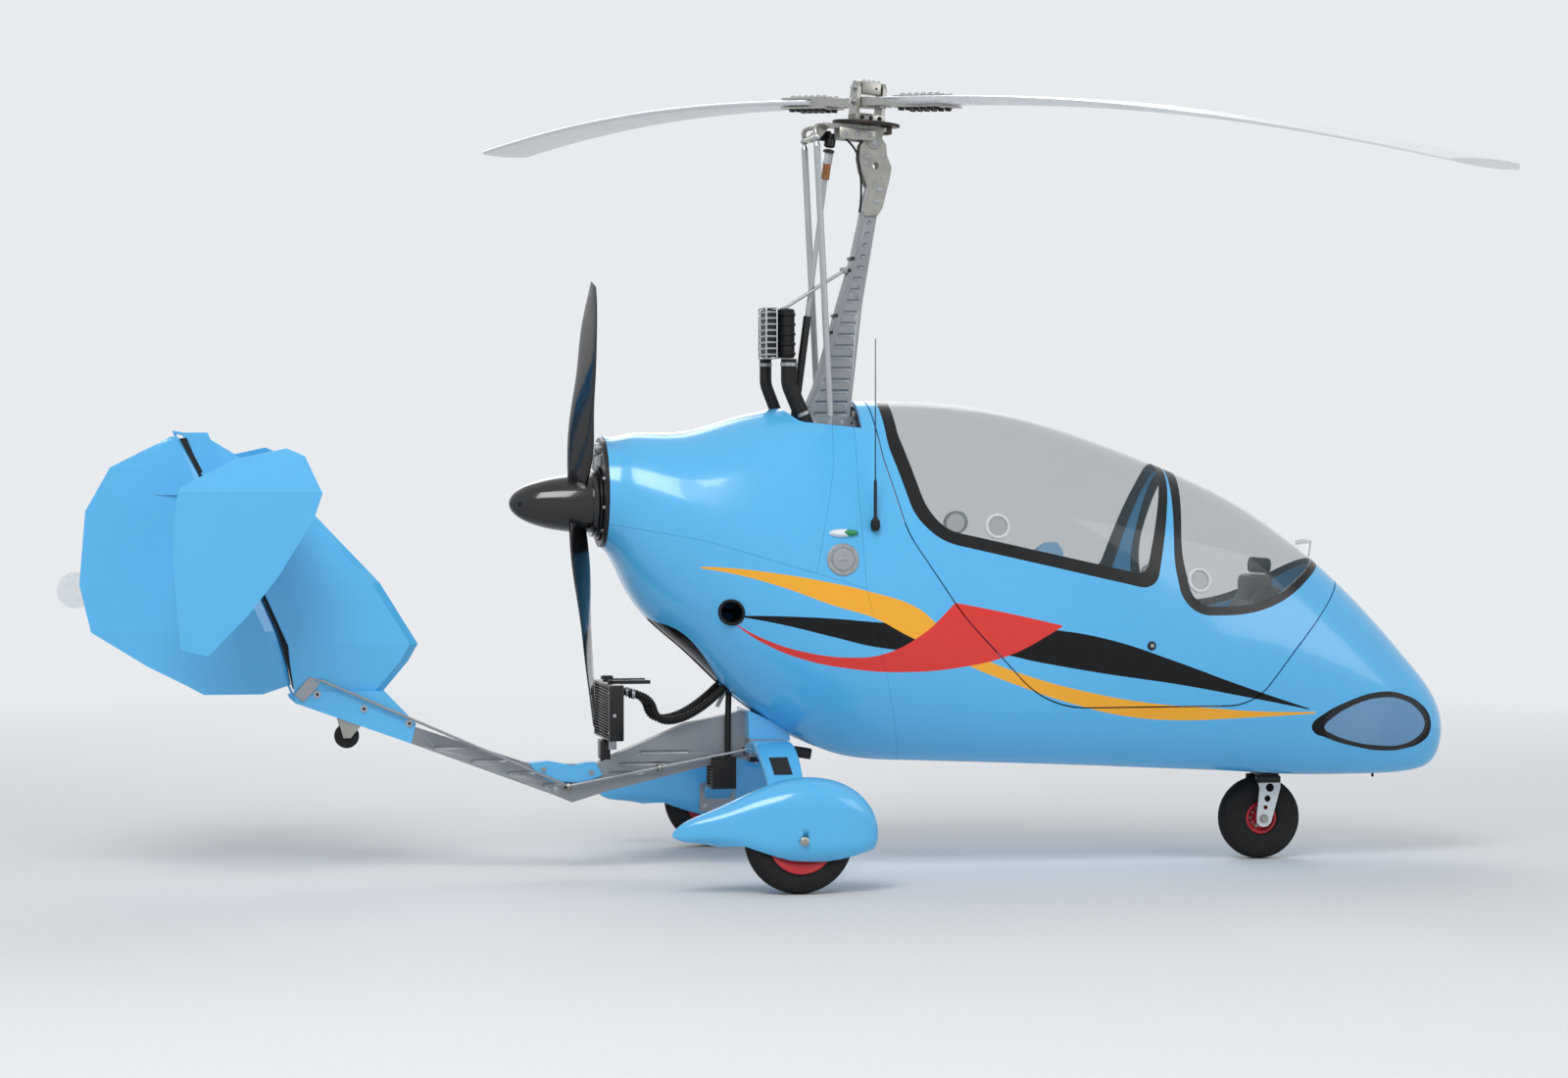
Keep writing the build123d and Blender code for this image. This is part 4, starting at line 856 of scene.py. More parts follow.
# Heights of the lowest groove and of the end of the grooves, and their distance from the rear and front edge
MAST_GROOVE_LOW = 1.615
MAST_GROOVE_TOP = 2.300
REAR_MARGIN = 0.016
FRONT_MARGIN = 0.014
MAST_CLIPS = (1.905, 1.965, 2.125, 2.168)
MAST_FOOT = [(0.105, 1.566), (0.300, 1.566), (0.300, 1.592), (0.283, 1.606), (0.120, 1.606), (0.105, 1.592)]
MAST_FOOT_HOLES = [(0.125, 1.585, 0.005), (0.285, 1.582, 0.005)]


class GYRO_OT_mast(bpy.types.Operator):
    """Press the grooves of the mast and add its rear flange, clips and foot"""

    bl_idname = "gyro.mast"
    bl_label = "Mast"

    def execute(self, context):
        pitch = sizes().mast_groove
        grooves = []
        for i in range(int((MAST_GROOVE_TOP - MAST_GROOVE_LOW) / pitch) + 1):
            height = MAST_GROOVE_LOW + i * pitch
            rear = lerp_line(MAST_REAR, height) + REAR_MARGIN
            front = lerp_line(MAST_FRONT, height) - FRONT_MARGIN
            grooves.append((rear, front, MAST_HALF, height))
        grooved("mast", grooves, "pressed_sheet")

        parts = []
        for (x0, z0), (x1, z1) in zip(MAST_REAR[1:], MAST_REAR[2:]):
            strip = [(x0 - 0.006, z0), (x0 + 0.002, z0), (x1 + 0.002, z1), (x1 - 0.006, z1)]
            parts.append(plate(strip, 0, 2 * MAST_HALF + 0.010, "pressed_sheet"))
        for height in MAST_CLIPS:
            rear = lerp_line(MAST_REAR, height)
            parts.append(block((rear - 0.007, 0, height), (0.014, 2 * MAST_HALF + 0.016, 0.012), "black_steel"))
        for side in SIDES:
            parts.append(plate(MAST_FOOT, side * (MAST_HALF + 0.004), 0.006, "bare_aluminium", MAST_FOOT_HOLES))
        parts.append(block((0.312, 0, 1.612), (0.030, 0.040, 0.030), "bare_aluminium", 0.003))
        parts += bolts(0.006, "bolt_steel", both_sides([(x, 1.586) for x in (0.15, 0.2, 0.25)], MAST_HALF + 0.007))
        fitted("mast_fittings", parts, "airframe", "bare_aluminium")
        return {"FINISHED"}


MAST_HEAD = [(0.323, 2.340), (0.345, 2.418), (0.322, 2.480), (0.314, 2.523), (0.319, 2.570), (0.334, 2.592),
             (0.395, 2.592), (0.409, 2.573), (0.412, 2.535), (0.429, 2.491), (0.422, 2.448), (0.396, 2.347),
             (0.380, 2.322), (0.335, 2.318)]
HEAD_PLATE_HOLE = [(0.372, 2.497, 0.0125)]
HEAD_CABLE = [(0.262, -0.036, 2.592), (0.298, -0.042, 2.560), (0.312, -0.042, 2.500), (0.322, -0.036, 2.400),
              (0.314, -0.034, 2.330)]
# x, z of the bolts on the head plates, by radius
HEAD_PLATE_BOLTS = {
    0.0058: [(0.341, 2.528), (0.335, 2.505), (0.396, 2.536), (0.396, 2.456), (0.378, 2.439)],
    0.0095: [(0.386, 2.412), (0.376, 2.372)],
}
PIVOT_CHEEK = [(0.329, 2.626), (0.403, 2.626), (0.384, 2.566), (0.374, 2.558), (0.358, 2.558), (0.348, 2.566)]
# Middle line of the left lever, mirrored for the right one
HEAD_LEVER = [(0.190, 0.040, 2.630), (0.160, 0.080, 2.640), (0.134, 0.106, 2.624), (0.1425, 0.110, 2.600)]
# Top of the drive shaft and its direction, and the left pin of the control rods
SHAFT_TOP = Vector((0.205, 0, 2.520))
SHAFT_WAY = Vector((0.1304, 0, 0.9915))
ROD_PIN = Vector((0.1421, 0.110, 2.591))

# Turned profiles as radius, height
ROD_BALL = [(0, -0.012), (0.010, -0.009), (0.013, 0), (0.010, 0.009), (0, 0.012)]
ROD_CONE = [(0, -0.034), (0.0124, -0.034), (0.0124, -0.030), (0.0062, -0.012), (0, -0.012)]
DRIVE_YOKE = [(0, 0.041), (0.013, 0.041), (0.020, 0.046), (0.020, 0.072), (0.014, 0.076), (0.014, 0.092), (0, 0.092)]
DRIVE_SLEEVE = [(0, -0.073), (0.0145, -0.073), (0.0145, -0.018), (0, -0.018)]
DRIVE_NUT = [(0, -0.018), (0.017, -0.018), (0.018, -0.014), (0.018, 0.020), (0.016, 0.024), (0, 0.024)]
DRIVE_CAP = [(0, 0.024), (0.020, 0.024), (0.020, 0.033), (0.012, 0.036), (0, 0.036)]
RING_GEAR = [(0, -0.0795), (0.1150, -0.0795), (0.1165, -0.0780), (0.1165, -0.0720), (0.1150, -0.0705), (0, -0.0705)]
GEAR_TEETH = 96
CHEEK_RADIUS = 0.033
CHEEK_CENTRE = 0.043
# Blade clamp bolts: distances from the hub along the bar, and from its middle line
CLAMP_REACHES = (0.36, 0.42, 0.48, 0.54, 0.60, 0.66)
CLAMP_HALF = 0.023
CLAMP_FACE = 0.0207
HUB_REACHES = (0.13, 0.20, 0.26)


class GYRO_OT_rotor_head(bpy.types.Operator):
    """Add the bolts, blocks and drive of the rotor head"""

    bl_idname = "gyro.rotor_head"
    bl_label = "Rotor head"

    def execute(self, context):
        head = Matrix.Translation(HUB) @ Matrix.Rotation(SPINDLE_TILT, 4, "Y")
        rotor = head @ Matrix.Rotation(BLADE_SWEEP - pi / 2, 4, "Z")
        self.mast_head()
        self.bridge(head)
        self.control_rods()
        self.spin_up_drive()
        fitted("tower_with_ring", moved(self.tower(), rotor), "rotor_tower", "steel", "rotor_tower")
        blades = rotor @ Matrix.Rotation(TEETER_REST, 4, "Y")
        fitted("rotor_hub_bolts", moved(self.hub_bolts(), blades), "rotor", "steel")
        return {"FINISHED"}

    def mast_head(self):
        """Pear-shaped plates on both sides of the mast's top, with the pivot's bolt."""
        parts = [plate(MAST_HEAD, side * (MAST_HALF + 0.0048), 0.009, "head_steel", HEAD_PLATE_HOLE)
                 for side in SIDES]
        parts.append(rod((PIVOT.x, -0.046, PIVOT.z), (PIVOT.x, 0.046, PIVOT.z), 0.008, "bolt_steel"))
        for radius, places in HEAD_PLATE_BOLTS.items():
            parts += bolts(radius, "bolt_steel", both_sides(places, MAST_HALF + 0.0093))
        parts.append(tube(HEAD_CABLE, 0.004, "hose_rubber"))
        fitted("mast_head_plates", parts, "airframe", "bare_aluminium", "mast_head")

    def bridge(self, head):
        """Side bars, pivot cheeks, levers and upper joint half of the head's bridge."""
        parts = [block((-0.040, side * 0.048, -0.118), (0.130, 0.016, 0.040), "head_steel", 0.003) for side in SIDES]
        parts += bolts(0.007, "bolt_steel", both_sides([(x, -0.118) for x in (-0.085, -0.040, 0.005)], 0.056))
        parts.append(block((-0.150, 0.030, -0.128), (0.060, 0.030, 0.036), "panel_black", 0.004))
        moved(parts, head)
        parts += [plate(PIVOT_CHEEK, side * 0.0418, 0.006, "head_steel") for side in SIDES]
        parts += bolts(0.010, "bolt_steel", both_sides([(PIVOT.x, PIVOT.z)], 0.0462))
        parts.append(block((0.418, 0, 2.626), (0.030, 0.060, 0.034), "gear_steel", 0.003))
        for side in SIDES:
            parts.append(tube([(x, side * y, z) for x, y, z in HEAD_LEVER], 0.0085, "head_steel"))
            parts.append(turned(ROD_BALL, (ROD_PIN.x, side * 0.120, ROD_PIN.z), Y_AXIS, "bolt_steel", 20, 60))
        parts.append(turned(DRIVE_YOKE, SHAFT_TOP, SHAFT_WAY, "black_steel", 24))
        fitted("head_bridge_fittings", parts, "head", "steel")

    def control_rods(self):
        """Cone at the top of each control rod."""
        corners = [v.co for v in nodes["control_rods"].data.vertices]
        low = min(c.z for c in corners)
        parts = []
        for side in SIDES:
            foot = [c for c in corners if c.z < low + 0.012 and c.y * side > 0]
            middle = sum(foot, Vector()) / len(foot)
            top = Vector((ROD_PIN.x, side * ROD_PIN.y, ROD_PIN.z))
            parts.append(turned(ROD_CONE, top, (top - middle).normalized(), "bolt_steel", 24))
        fitted("control_rod_cones", parts, "control_rods", "steel")

    def spin_up_drive(self):
        """Lower joint half, hexagon and brass sleeve at the top of the drive shaft."""
        pieces = ((DRIVE_SLEEVE, "brass", 24), (DRIVE_NUT, "bolt_steel", 6), (DRIVE_CAP, "black_steel", 24))
        parts = [turned(profile, SHAFT_TOP, SHAFT_WAY, finish, steps) for profile, finish, steps in pieces]
        fitted("drive_coupling", parts, "spin_up_shaft", "steel")

    def tower(self):
        """Ring gear, base, cheeks and middle block about the hub."""
        steps = [a * pi / 12 for a in range(13)]
        arc = [(CHEEK_RADIUS * cos(a), CHEEK_CENTRE + CHEEK_RADIUS * sin(a)) for a in steps]
        cheek = [(-CHEEK_RADIUS, -0.070), (CHEEK_RADIUS, -0.070), *arc]
        parts = [plate(cheek, side * 0.049, 0.014, "head_steel") for side in SIDES]
        parts.append(block((0, 0, -0.0555), (0.080, 0.112, 0.029), "head_steel", 0.003))
        parts.append(block((0, 0, 0.0515), (0.058, 0.074, 0.045), "head_steel", 0.004))
        parts.append(rod((0, -0.058, 0.055), (0, 0.058, 0.055), 0.007, "bolt_steel"))
        parts.append(turned(RING_GEAR, ORIGIN, Z_AXIS, "gear_steel", 72))
        tooth = block(ORIGIN, (0.0030, 0.0060, 0.0086), "gear_steel", 0.0006)
        place, quarter = Matrix.Translation((0.1172, 0, -0.075)), Matrix.Rotation(pi / 2, 4, "Z")
        turns = [Matrix.Rotation(2 * pi * i / GEAR_TEETH, 4, "Z") for i in range(GEAR_TEETH)]
        parts += copies(tooth, [turn @ place @ quarter for turn in turns])
        parts += bolts(0.012, "bolt_steel", both_sides([(0, 0), (0, 0.050)], 0.056))
        parts += bolts(0.0065, "bolt_steel", [((0.016, y, 0.0735), (0, 0, 1))
                                              for y in (-0.028, -0.009, 0.009, 0.028)])
        ends = [((side * 0.0395, y, -0.0555), (side, 0, 0)) for side in SIDES for y in (-0.034, 0, 0.034)]
        parts += bolts(0.0065, "black_steel", ends)
        for side in SIDES:
            parts.append(turned(disc(0.0045, 0.0006), (side * 0.029, 0.018, 0.050), (side, 0, 0), "panel_black", 20))
        return parts

    def hub_bolts(self):
        """Bolts, nuts and saddles of the blade clamps."""
        rows = [(side * x, y) for side in SIDES for y in (-CLAMP_HALF, CLAMP_HALF) for x in CLAMP_REACHES]
        hub = bolts(0.0095, "bolt_steel", [((x, y, CLAMP_FACE), (0, 0, 1)) for x, y in rows])
        hub += bolts(0.0110, "black_steel", [((x, y, -CLAMP_FACE), (0, 0, -1)) for x, y in rows])
        hub += [block((0, 0, level * 0.0155), (0.17, 0.076, 0.006), "head_steel", 0.002) for level in SIDES]
        near = [(side * x, level) for side in SIDES for level in SIDES for x in HUB_REACHES]
        return hub + bolts(0.007, "bolt_steel", [((x, 0, level * 0.0127), (0, 0, level)) for x, level in near])


# Grooves pressed in the keel: first and last x, and z
KEEL_GROOVES = [(-1.216, -1.074, 0.447), (-1.084, -0.936, 0.399), (-0.957, -0.822, 0.355), (-0.833, -0.771, 0.312),
                (-0.597, -0.450, 0.348), (-0.560, -0.369, 0.380), (-0.488, -0.291, 0.420)]
GROOVE_MARGIN = 0.008
KEEL_FAIRING = [(-0.868, 0.387), (-0.801, 0.392), (-0.716, 0.376), (-0.668, 0.386), (-0.636, 0.386), (-0.614, 0.344),
                (-0.674, 0.320), (-0.790, 0.324), (-0.840, 0.352)]
# y of the rudder rod, x, z of its knee and x, z of its guides
RUDDER_ROD_Y = -0.052
RUDDER_KNEE = (-0.735, RUDDER_ROD_Y, 0.308)
RUDDER_GUIDES = ((-0.735, 0.308), (-0.410, 0.3685), (-0.100, 0.426))
GUIDE_RING = [(0, -0.006), (0.011, -0.006), (0.011, 0.006), (0, 0.006)]


class GYRO_OT_keel(bpy.types.Operator):
    """Press the grooves of the keel and add its blue fairing and the rudder rod"""

    bl_idname = "gyro.keel"
    bl_label = "Keel"

    def execute(self, context):
        places = [(low + GROOVE_MARGIN, high - GROOVE_MARGIN, KEEL_HALF, z) for low, high, z in KEEL_GROOVES]
        grooved("keel", places, "pressed_sheet")
        cover = plate(KEEL_FAIRING, 0, 2 * KEEL_HALF + 0.012, "body_paint", bevel=0.003)
        fit(cover, "airframe", "body_paint").name = "keel_fairing"

        parts = [rod(RUDDER_KNEE, (-0.090, RUDDER_ROD_Y, 0.428), 0.006, "bare_aluminium")]
        parts.append(rod((-1.600, RUDDER_ROD_Y, 0.690), RUDDER_KNEE, 0.005, "bare_aluminium"))
        for x, z in RUDDER_GUIDES:
            parts.append(block((x, RUDDER_ROD_Y / 2 - 0.018, z), (0.022, 0.026, 0.020), "black_steel", 0.003))
            parts.append(turned(GUIDE_RING, (x, RUDDER_ROD_Y, z), (1, 0, 0.19), "head_steel", 20))
        heads = [((x, -KEEL_HALF - 0.0065, z), (0, -1, 0)) for x, z in ((-0.820, 0.366), (-0.650, 0.352))]
        parts += bolts(0.007, "head_steel", heads)
        fitted("rudder_rod", parts, "airframe", "bare_aluminium")
        return {"FINISHED"}


# Charge air cooler: middle x of the core, its width and the z of its ends; ridges of the tank and their pitch
AIR_CORE_X = -0.0115
AIR_CORE_WIDTH = 0.146
AIR_CORE_LOW = 1.811
AIR_CORE_TOP = 1.989
AIR_CORE_MIDDLE = 1.900
AIR_CORE_FINS = 8
TANK_RIDGES = 5
RIDGE_PITCH = 0.0345
TANK_STRETCH = 1.85
# Coolant radiator: rows of slats behind and ahead
REAR_SLATS = 18
FRONT_SLATS = 12
# Oil cooler under the keel: middle and size
OIL_COOLER = (-0.180, 0, 0.345)
OIL_COOLER_SIZE = (0.084, 0.126, 0.104)
OIL_HOSE = [(-0.161, -0.046, 0.640), (-0.166, -0.046, 0.520), (-0.165, -0.046, 0.400)]
FILLER_CAP = [(0, 0), (0.022, 0), (0.022, 0.010), (0.018, 0.013), (0, 0.013)]


class GYRO_OT_coolers(bpy.types.Operator):
    """Build the charge air cooler, the radiator and the oil cooler with their fins"""

    bl_idname = "gyro.coolers"
    bl_label = "Coolers"

    def execute(self, context):
        self.air_cooler()
        self.radiator()
        self.oil_cooler()
        foot = [block((-0.600, 0, 0.432), (0.036, 0.066, 0.070), "black_steel", 0.004)]
        foot += [block((-0.520, side * 0.060, 0.672), (0.150, 0.020, 0.014), "black_steel", 0.003) for side in SIDES]
        foot.append(block((-0.575, -0.020, 0.452), (0.030, 0.030, 0.040), "grey_rod", 0.003))
        foot.append(tube(OIL_HOSE, 0.011, "hose_rubber"))
        foot.append(rod((-0.205, -0.050, 0.580), (-0.170, -0.050, 0.645), 0.007, "bare_aluminium"))
        foot.append(turned(FILLER_CAP, (-0.600, -0.070, 0.684), Z_AXIS, "black_steel", 24))
        fitted("radiator_mount", foot, "airframe", "black_steel")
        return {"FINISHED"}

    def air_cooler(self):
        """Charge air cooler: finned core between corner posts, ridged tank behind the mast and its stays."""
        x, height = AIR_CORE_X, AIR_CORE_TOP - AIR_CORE_LOW
        parts = [block((x, 0, AIR_CORE_MIDDLE), (0.029, AIR_CORE_WIDTH - 0.014, height - 0.010), "panel_black")]
        for i in range(AIR_CORE_FINS):
            place = (x, 0, AIR_CORE_LOW + 0.014 + i * 0.0214)
            parts.append(block(place, (0.037, AIR_CORE_WIDTH - 0.006, 0.0068), "bare_aluminium", 0.0012))
        for post in (x - 0.019, x + 0.019):
            for side in SIDES:
                place = (post, side * (AIR_CORE_WIDTH / 2 - 0.002), AIR_CORE_MIDDLE)
                parts.append(block(place, (0.005, 0.005, height), "bolt_steel", 0.001))
        for z in (AIR_CORE_LOW, AIR_CORE_TOP):
            parts.append(block((x, 0, z), (0.044, AIR_CORE_WIDTH, 0.004), "bare_aluminium", 0.001))
        fitted("air_cooler_core", parts, "airframe", "bare_aluminium", "air_cooler")

        rings = [(0, 0), (0.030, 0), (0.0345, 0.004)]
        for i in range(TANK_RIDGES):
            ridge = 0.016 + i * RIDGE_PITCH
            rings += [(0.0345, ridge - 0.007), (0.0378, ridge - 0.004), (0.0378, ridge + 0.004),
                      (0.0345, ridge + 0.007)]
        rings += [(0.0345, 0.168), (0.030, 0.174), (0, 0.174)]
        tank = turned(rings, ORIGIN, Z_AXIS, "hose_rubber", 40)
        parts = moved([tank], Matrix.Translation((0.0485, 0, 1.813)) @ Matrix.Diagonal((1, TANK_STRETCH, 1, 1)))
        parts += [rod((0.047, y, 1.990), (0.262, y, 2.124), 0.0045, "bare_aluminium") for y in (-0.024, 0.024)]
        parts.append(block((0.266, 0, 2.128), (0.020, 0.070, 0.024), "bare_aluminium", 0.003, (0, -0.3, 0)))
        parts += [block((0.0485, side * 0.024, 1.990), (0.022, 0.012, 0.010), "bare_aluminium") for side in SIDES]
        fitted("air_cooler_tank", parts, "airframe", "hose_rubber")

    def radiator(self):
        """Upright coolant radiator across the aircraft, with slats on its rear face."""
        parts = [block((-0.580, 0, 0.570), (0.040, 0.340, 0.188), "hose_rubber")]
        for i in range(REAR_SLATS):
            place = (-0.603, 0, 0.484 + i * 0.0101)
            parts.append(block(place, (0.010, 0.336, 0.0030), "plate_black", 0.0008, (0, 0.5, 0)))
        for i in range(FRONT_SLATS):
            parts.append(block((-0.558, 0, 0.486 + i * 0.0153), (0.006, 0.336, 0.0050), "plate_black", 0.0008))
        for side in SIDES:
            parts.append(block((-0.583, side * 0.1735, 0.570), (0.052, 0.021, 0.196), "plate_black", 0.004))
            parts += bolts(0.005, "bolt_steel", [((-0.590, side * 0.1835, 0.562), (0, side, 0))])
        parts += [block((-0.583, 0, z), (0.052, 0.340, 0.008), "plate_black") for z in (0.476, 0.664)]
        corners = [((-0.608, y, z), (-1, 0, 0)) for y in (-0.174, 0.174) for z in (0.50, 0.64)]
        parts += bolts(0.004, "bolt_steel", corners)
        fitted("coolant_radiator", parts, "airframe", "plate_black", "rear_radiator")

    def oil_cooler(self):
        """Small finned cooler under the keel, between two side tanks."""
        x, y, z = OIL_COOLER
        length, width, height = OIL_COOLER_SIZE
        parts = [block(OIL_COOLER, (length * 0.82, width * 0.98, height * 0.94), "plate_black")]
        count = sizes().fins
        for i in range(count):
            fin = z - height / 2 + height * (i + 0.5) / count
            parts.append(block((x, y, fin), (length, width * 0.96, height / count * 0.36), "panel_black", 0.0012))
        for side in SIDES:
            tank = (x, y + side * (width / 2 - 0.012), z)
            parts.append(block(tank, (length + 0.004, 0.022, height), "hose_rubber", 0.005))
        for end in (z - height / 2, z + height / 2):
            parts.append(block((x, y, end), (length + 0.004, width, 0.008), "hose_rubber"))
        fitted("oil_cooler_core", parts, "airframe", "bare_aluminium", "oil_cooler")


# Middle line of both coolant hoses as x, z, and the pitch and height of their ridges
HOSE_ROUTE = [(-0.5237, 0.630), (-0.450, 0.630), (-0.420, 0.520), (-0.270, 0.560), (-0.170, 0.660)]
HOSE_RADIUS = 0.015
HOSE_RIDGE = 0.009
RIDGE_HEIGHT = 0.0028
# Clamps of the air ducts: place, inner radius and axis
DUCT_CLAMPS = (((0.052, -0.062, 1.790), 0.028, Z_AXIS), ((0.100, -0.062, 1.615), 0.028, (66, 0, -154)),
               ((-0.010, 0.052, 1.790), 0.021, Z_AXIS))


class GYRO_OT_hoses(bpy.types.Operator):
    """Build the ridged coolant hoses and the clamps of the hoses and air ducts"""

    bl_idname = "gyro.hoses"
    bl_label = "Hoses"

    def execute(self, context):
        made = []
        for y in (-0.070, 0.070):
            route = smooth_wire([(x, y, z) for x, z in HOSE_ROUTE], 24)
            count = int(route.data.splines[0].calc_length() / HOSE_RIDGE)
            profile = [(0, 0)]
            for i in range(count):
                start = i * HOSE_RIDGE
                profile += [(HOSE_RADIUS - RIDGE_HEIGHT, start), (HOSE_RADIUS, start + 0.002)]
                profile += [(HOSE_RADIUS, start + 0.0055), (HOSE_RADIUS - RIDGE_HEIGHT, start + 0.0075)]
            profile.append((0, count * HOSE_RIDGE))
            hose = turned(profile, ORIGIN, X_AXIS, "hose_rubber", 16, 50)
            modify(hose, "CURVE", object=route, deform_axis="POS_X")
            bpy.data.objects.remove(route)
            made.append(hose)
            clamp = band(HOSE_RADIUS - 0.002, HOSE_RADIUS + 0.0025, -0.005, 0.005)
            made.append(turned(clamp, (-0.508, y, 0.630), X_AXIS, "bare_aluminium", 24))
        fitted("coolant_hoses", made, "airframe", "hose_rubber", "hoses")
        clamps = []
        for place, radius, axis in DUCT_CLAMPS:
            clamps.append(turned(band(radius, radius + 0.002, -0.006, 0.006), place, axis, "bare_aluminium", 28))
        fitted("duct_clamps", clamps, "airframe", "steel")
        return {"FINISHED"}


def tyre(centre, radius, half, seat, grooves):
    """Tyre with a round shoulder and grooves round its tread."""
    side = [(seat, half * 0.72), (seat + 0.006, half * 0.90), ((seat + radius) / 2, half)]
    side += [(radius - 0.030, half * 0.96), (radius - 0.012, half * 0.82)]
    tread = []
    for i in range(grooves):
        middle = half * 0.70 * (1 - 2 * i / (grooves - 1))
        crown = radius - 0.010 * (middle / (half * 0.7)) ** 2
        tread += [(crown, middle + 0.0034), (crown - 0.003, middle + 0.0022)]
        tread += [(crown - 0.003, middle - 0.0022), (crown, middle - 0.0034)]
    ring = side + tread + [(r, -h) for r, h in reversed(side)] + [side[0]]
    return turned(ring, centre, Y_AXIS, "tyre_rubber", 72, 40)


RIM_FLANGE = [(0.070, 0.040), (0.090, 0.0455), (0.112, 0.0535), (0.1145, 0.0525), (0.1145, 0.0560), (0.111, 0.0570),
              (0.088, 0.0490), (0.070, 0.0435), (0.070, 0.040)]
FORK_PLATE = [(1.780, 0.300), (1.870, 0.300), (1.869, 0.262), (1.840, 0.156), (1.834, 0.136), (1.822, 0.123),
              (1.807, 0.119), (1.792, 0.123), (1.782, 0.136), (1.782, 0.160), (1.792, 0.260)]
FORK_HOLES = [(1.830, 0.262, 0.0160), (1.821, 0.222, 0.0123), (1.814, 0.190, 0.0086)]
AXLE_CAP = [(0, 0), (0.0155, 0), (0.0155, 0.004), (0.010, 0.007), (0, 0.007)]
# Lower edge of the wheel fairings, and how low the piece cut off reaches
SPAT_EDGE = [(-0.372, 0.157), (-0.310, 0.166), (-0.262, 0.1690), (-0.200, 0.1470), (-0.150, 0.1305), (-0.100, 0.1165),
             (-0.040, 0.1130), (0.020, 0.1125), (0.070, 0.1200), (0.120, 0.1310), (0.150, 0.1405), (0.190, 0.1500)]
SPAT_CUT_LOW = 0.040
SPAT_BRACKET = [(-0.130, 0.138), (0.002, 0.138), (0.002, 0.236), (-0.024, 0.252), (-0.104, 0.252), (-0.130, 0.236)]
GEAR_PYLON = [(-0.096, 0.468), (0.044, 0.464), (0.040, 0.500), (0.000, 0.522), (-0.100, 0.566)]
LEG_CLAMP = [(-0.098, 0.408), (0.032, 0.404), (0.032, 0.4635), (-0.098, 0.4675)]
CLAMP_SOLE = [(-0.094, 0.388), (0.060, 0.388), (0.060, 0.403), (-0.094, 0.407)]
# Place above the step pad of the left leg, and the size of the pad
STEP_X = -0.058
STEP_Y = 0.48
STEP_PAD = (0.064, 0.110, 0.0030)


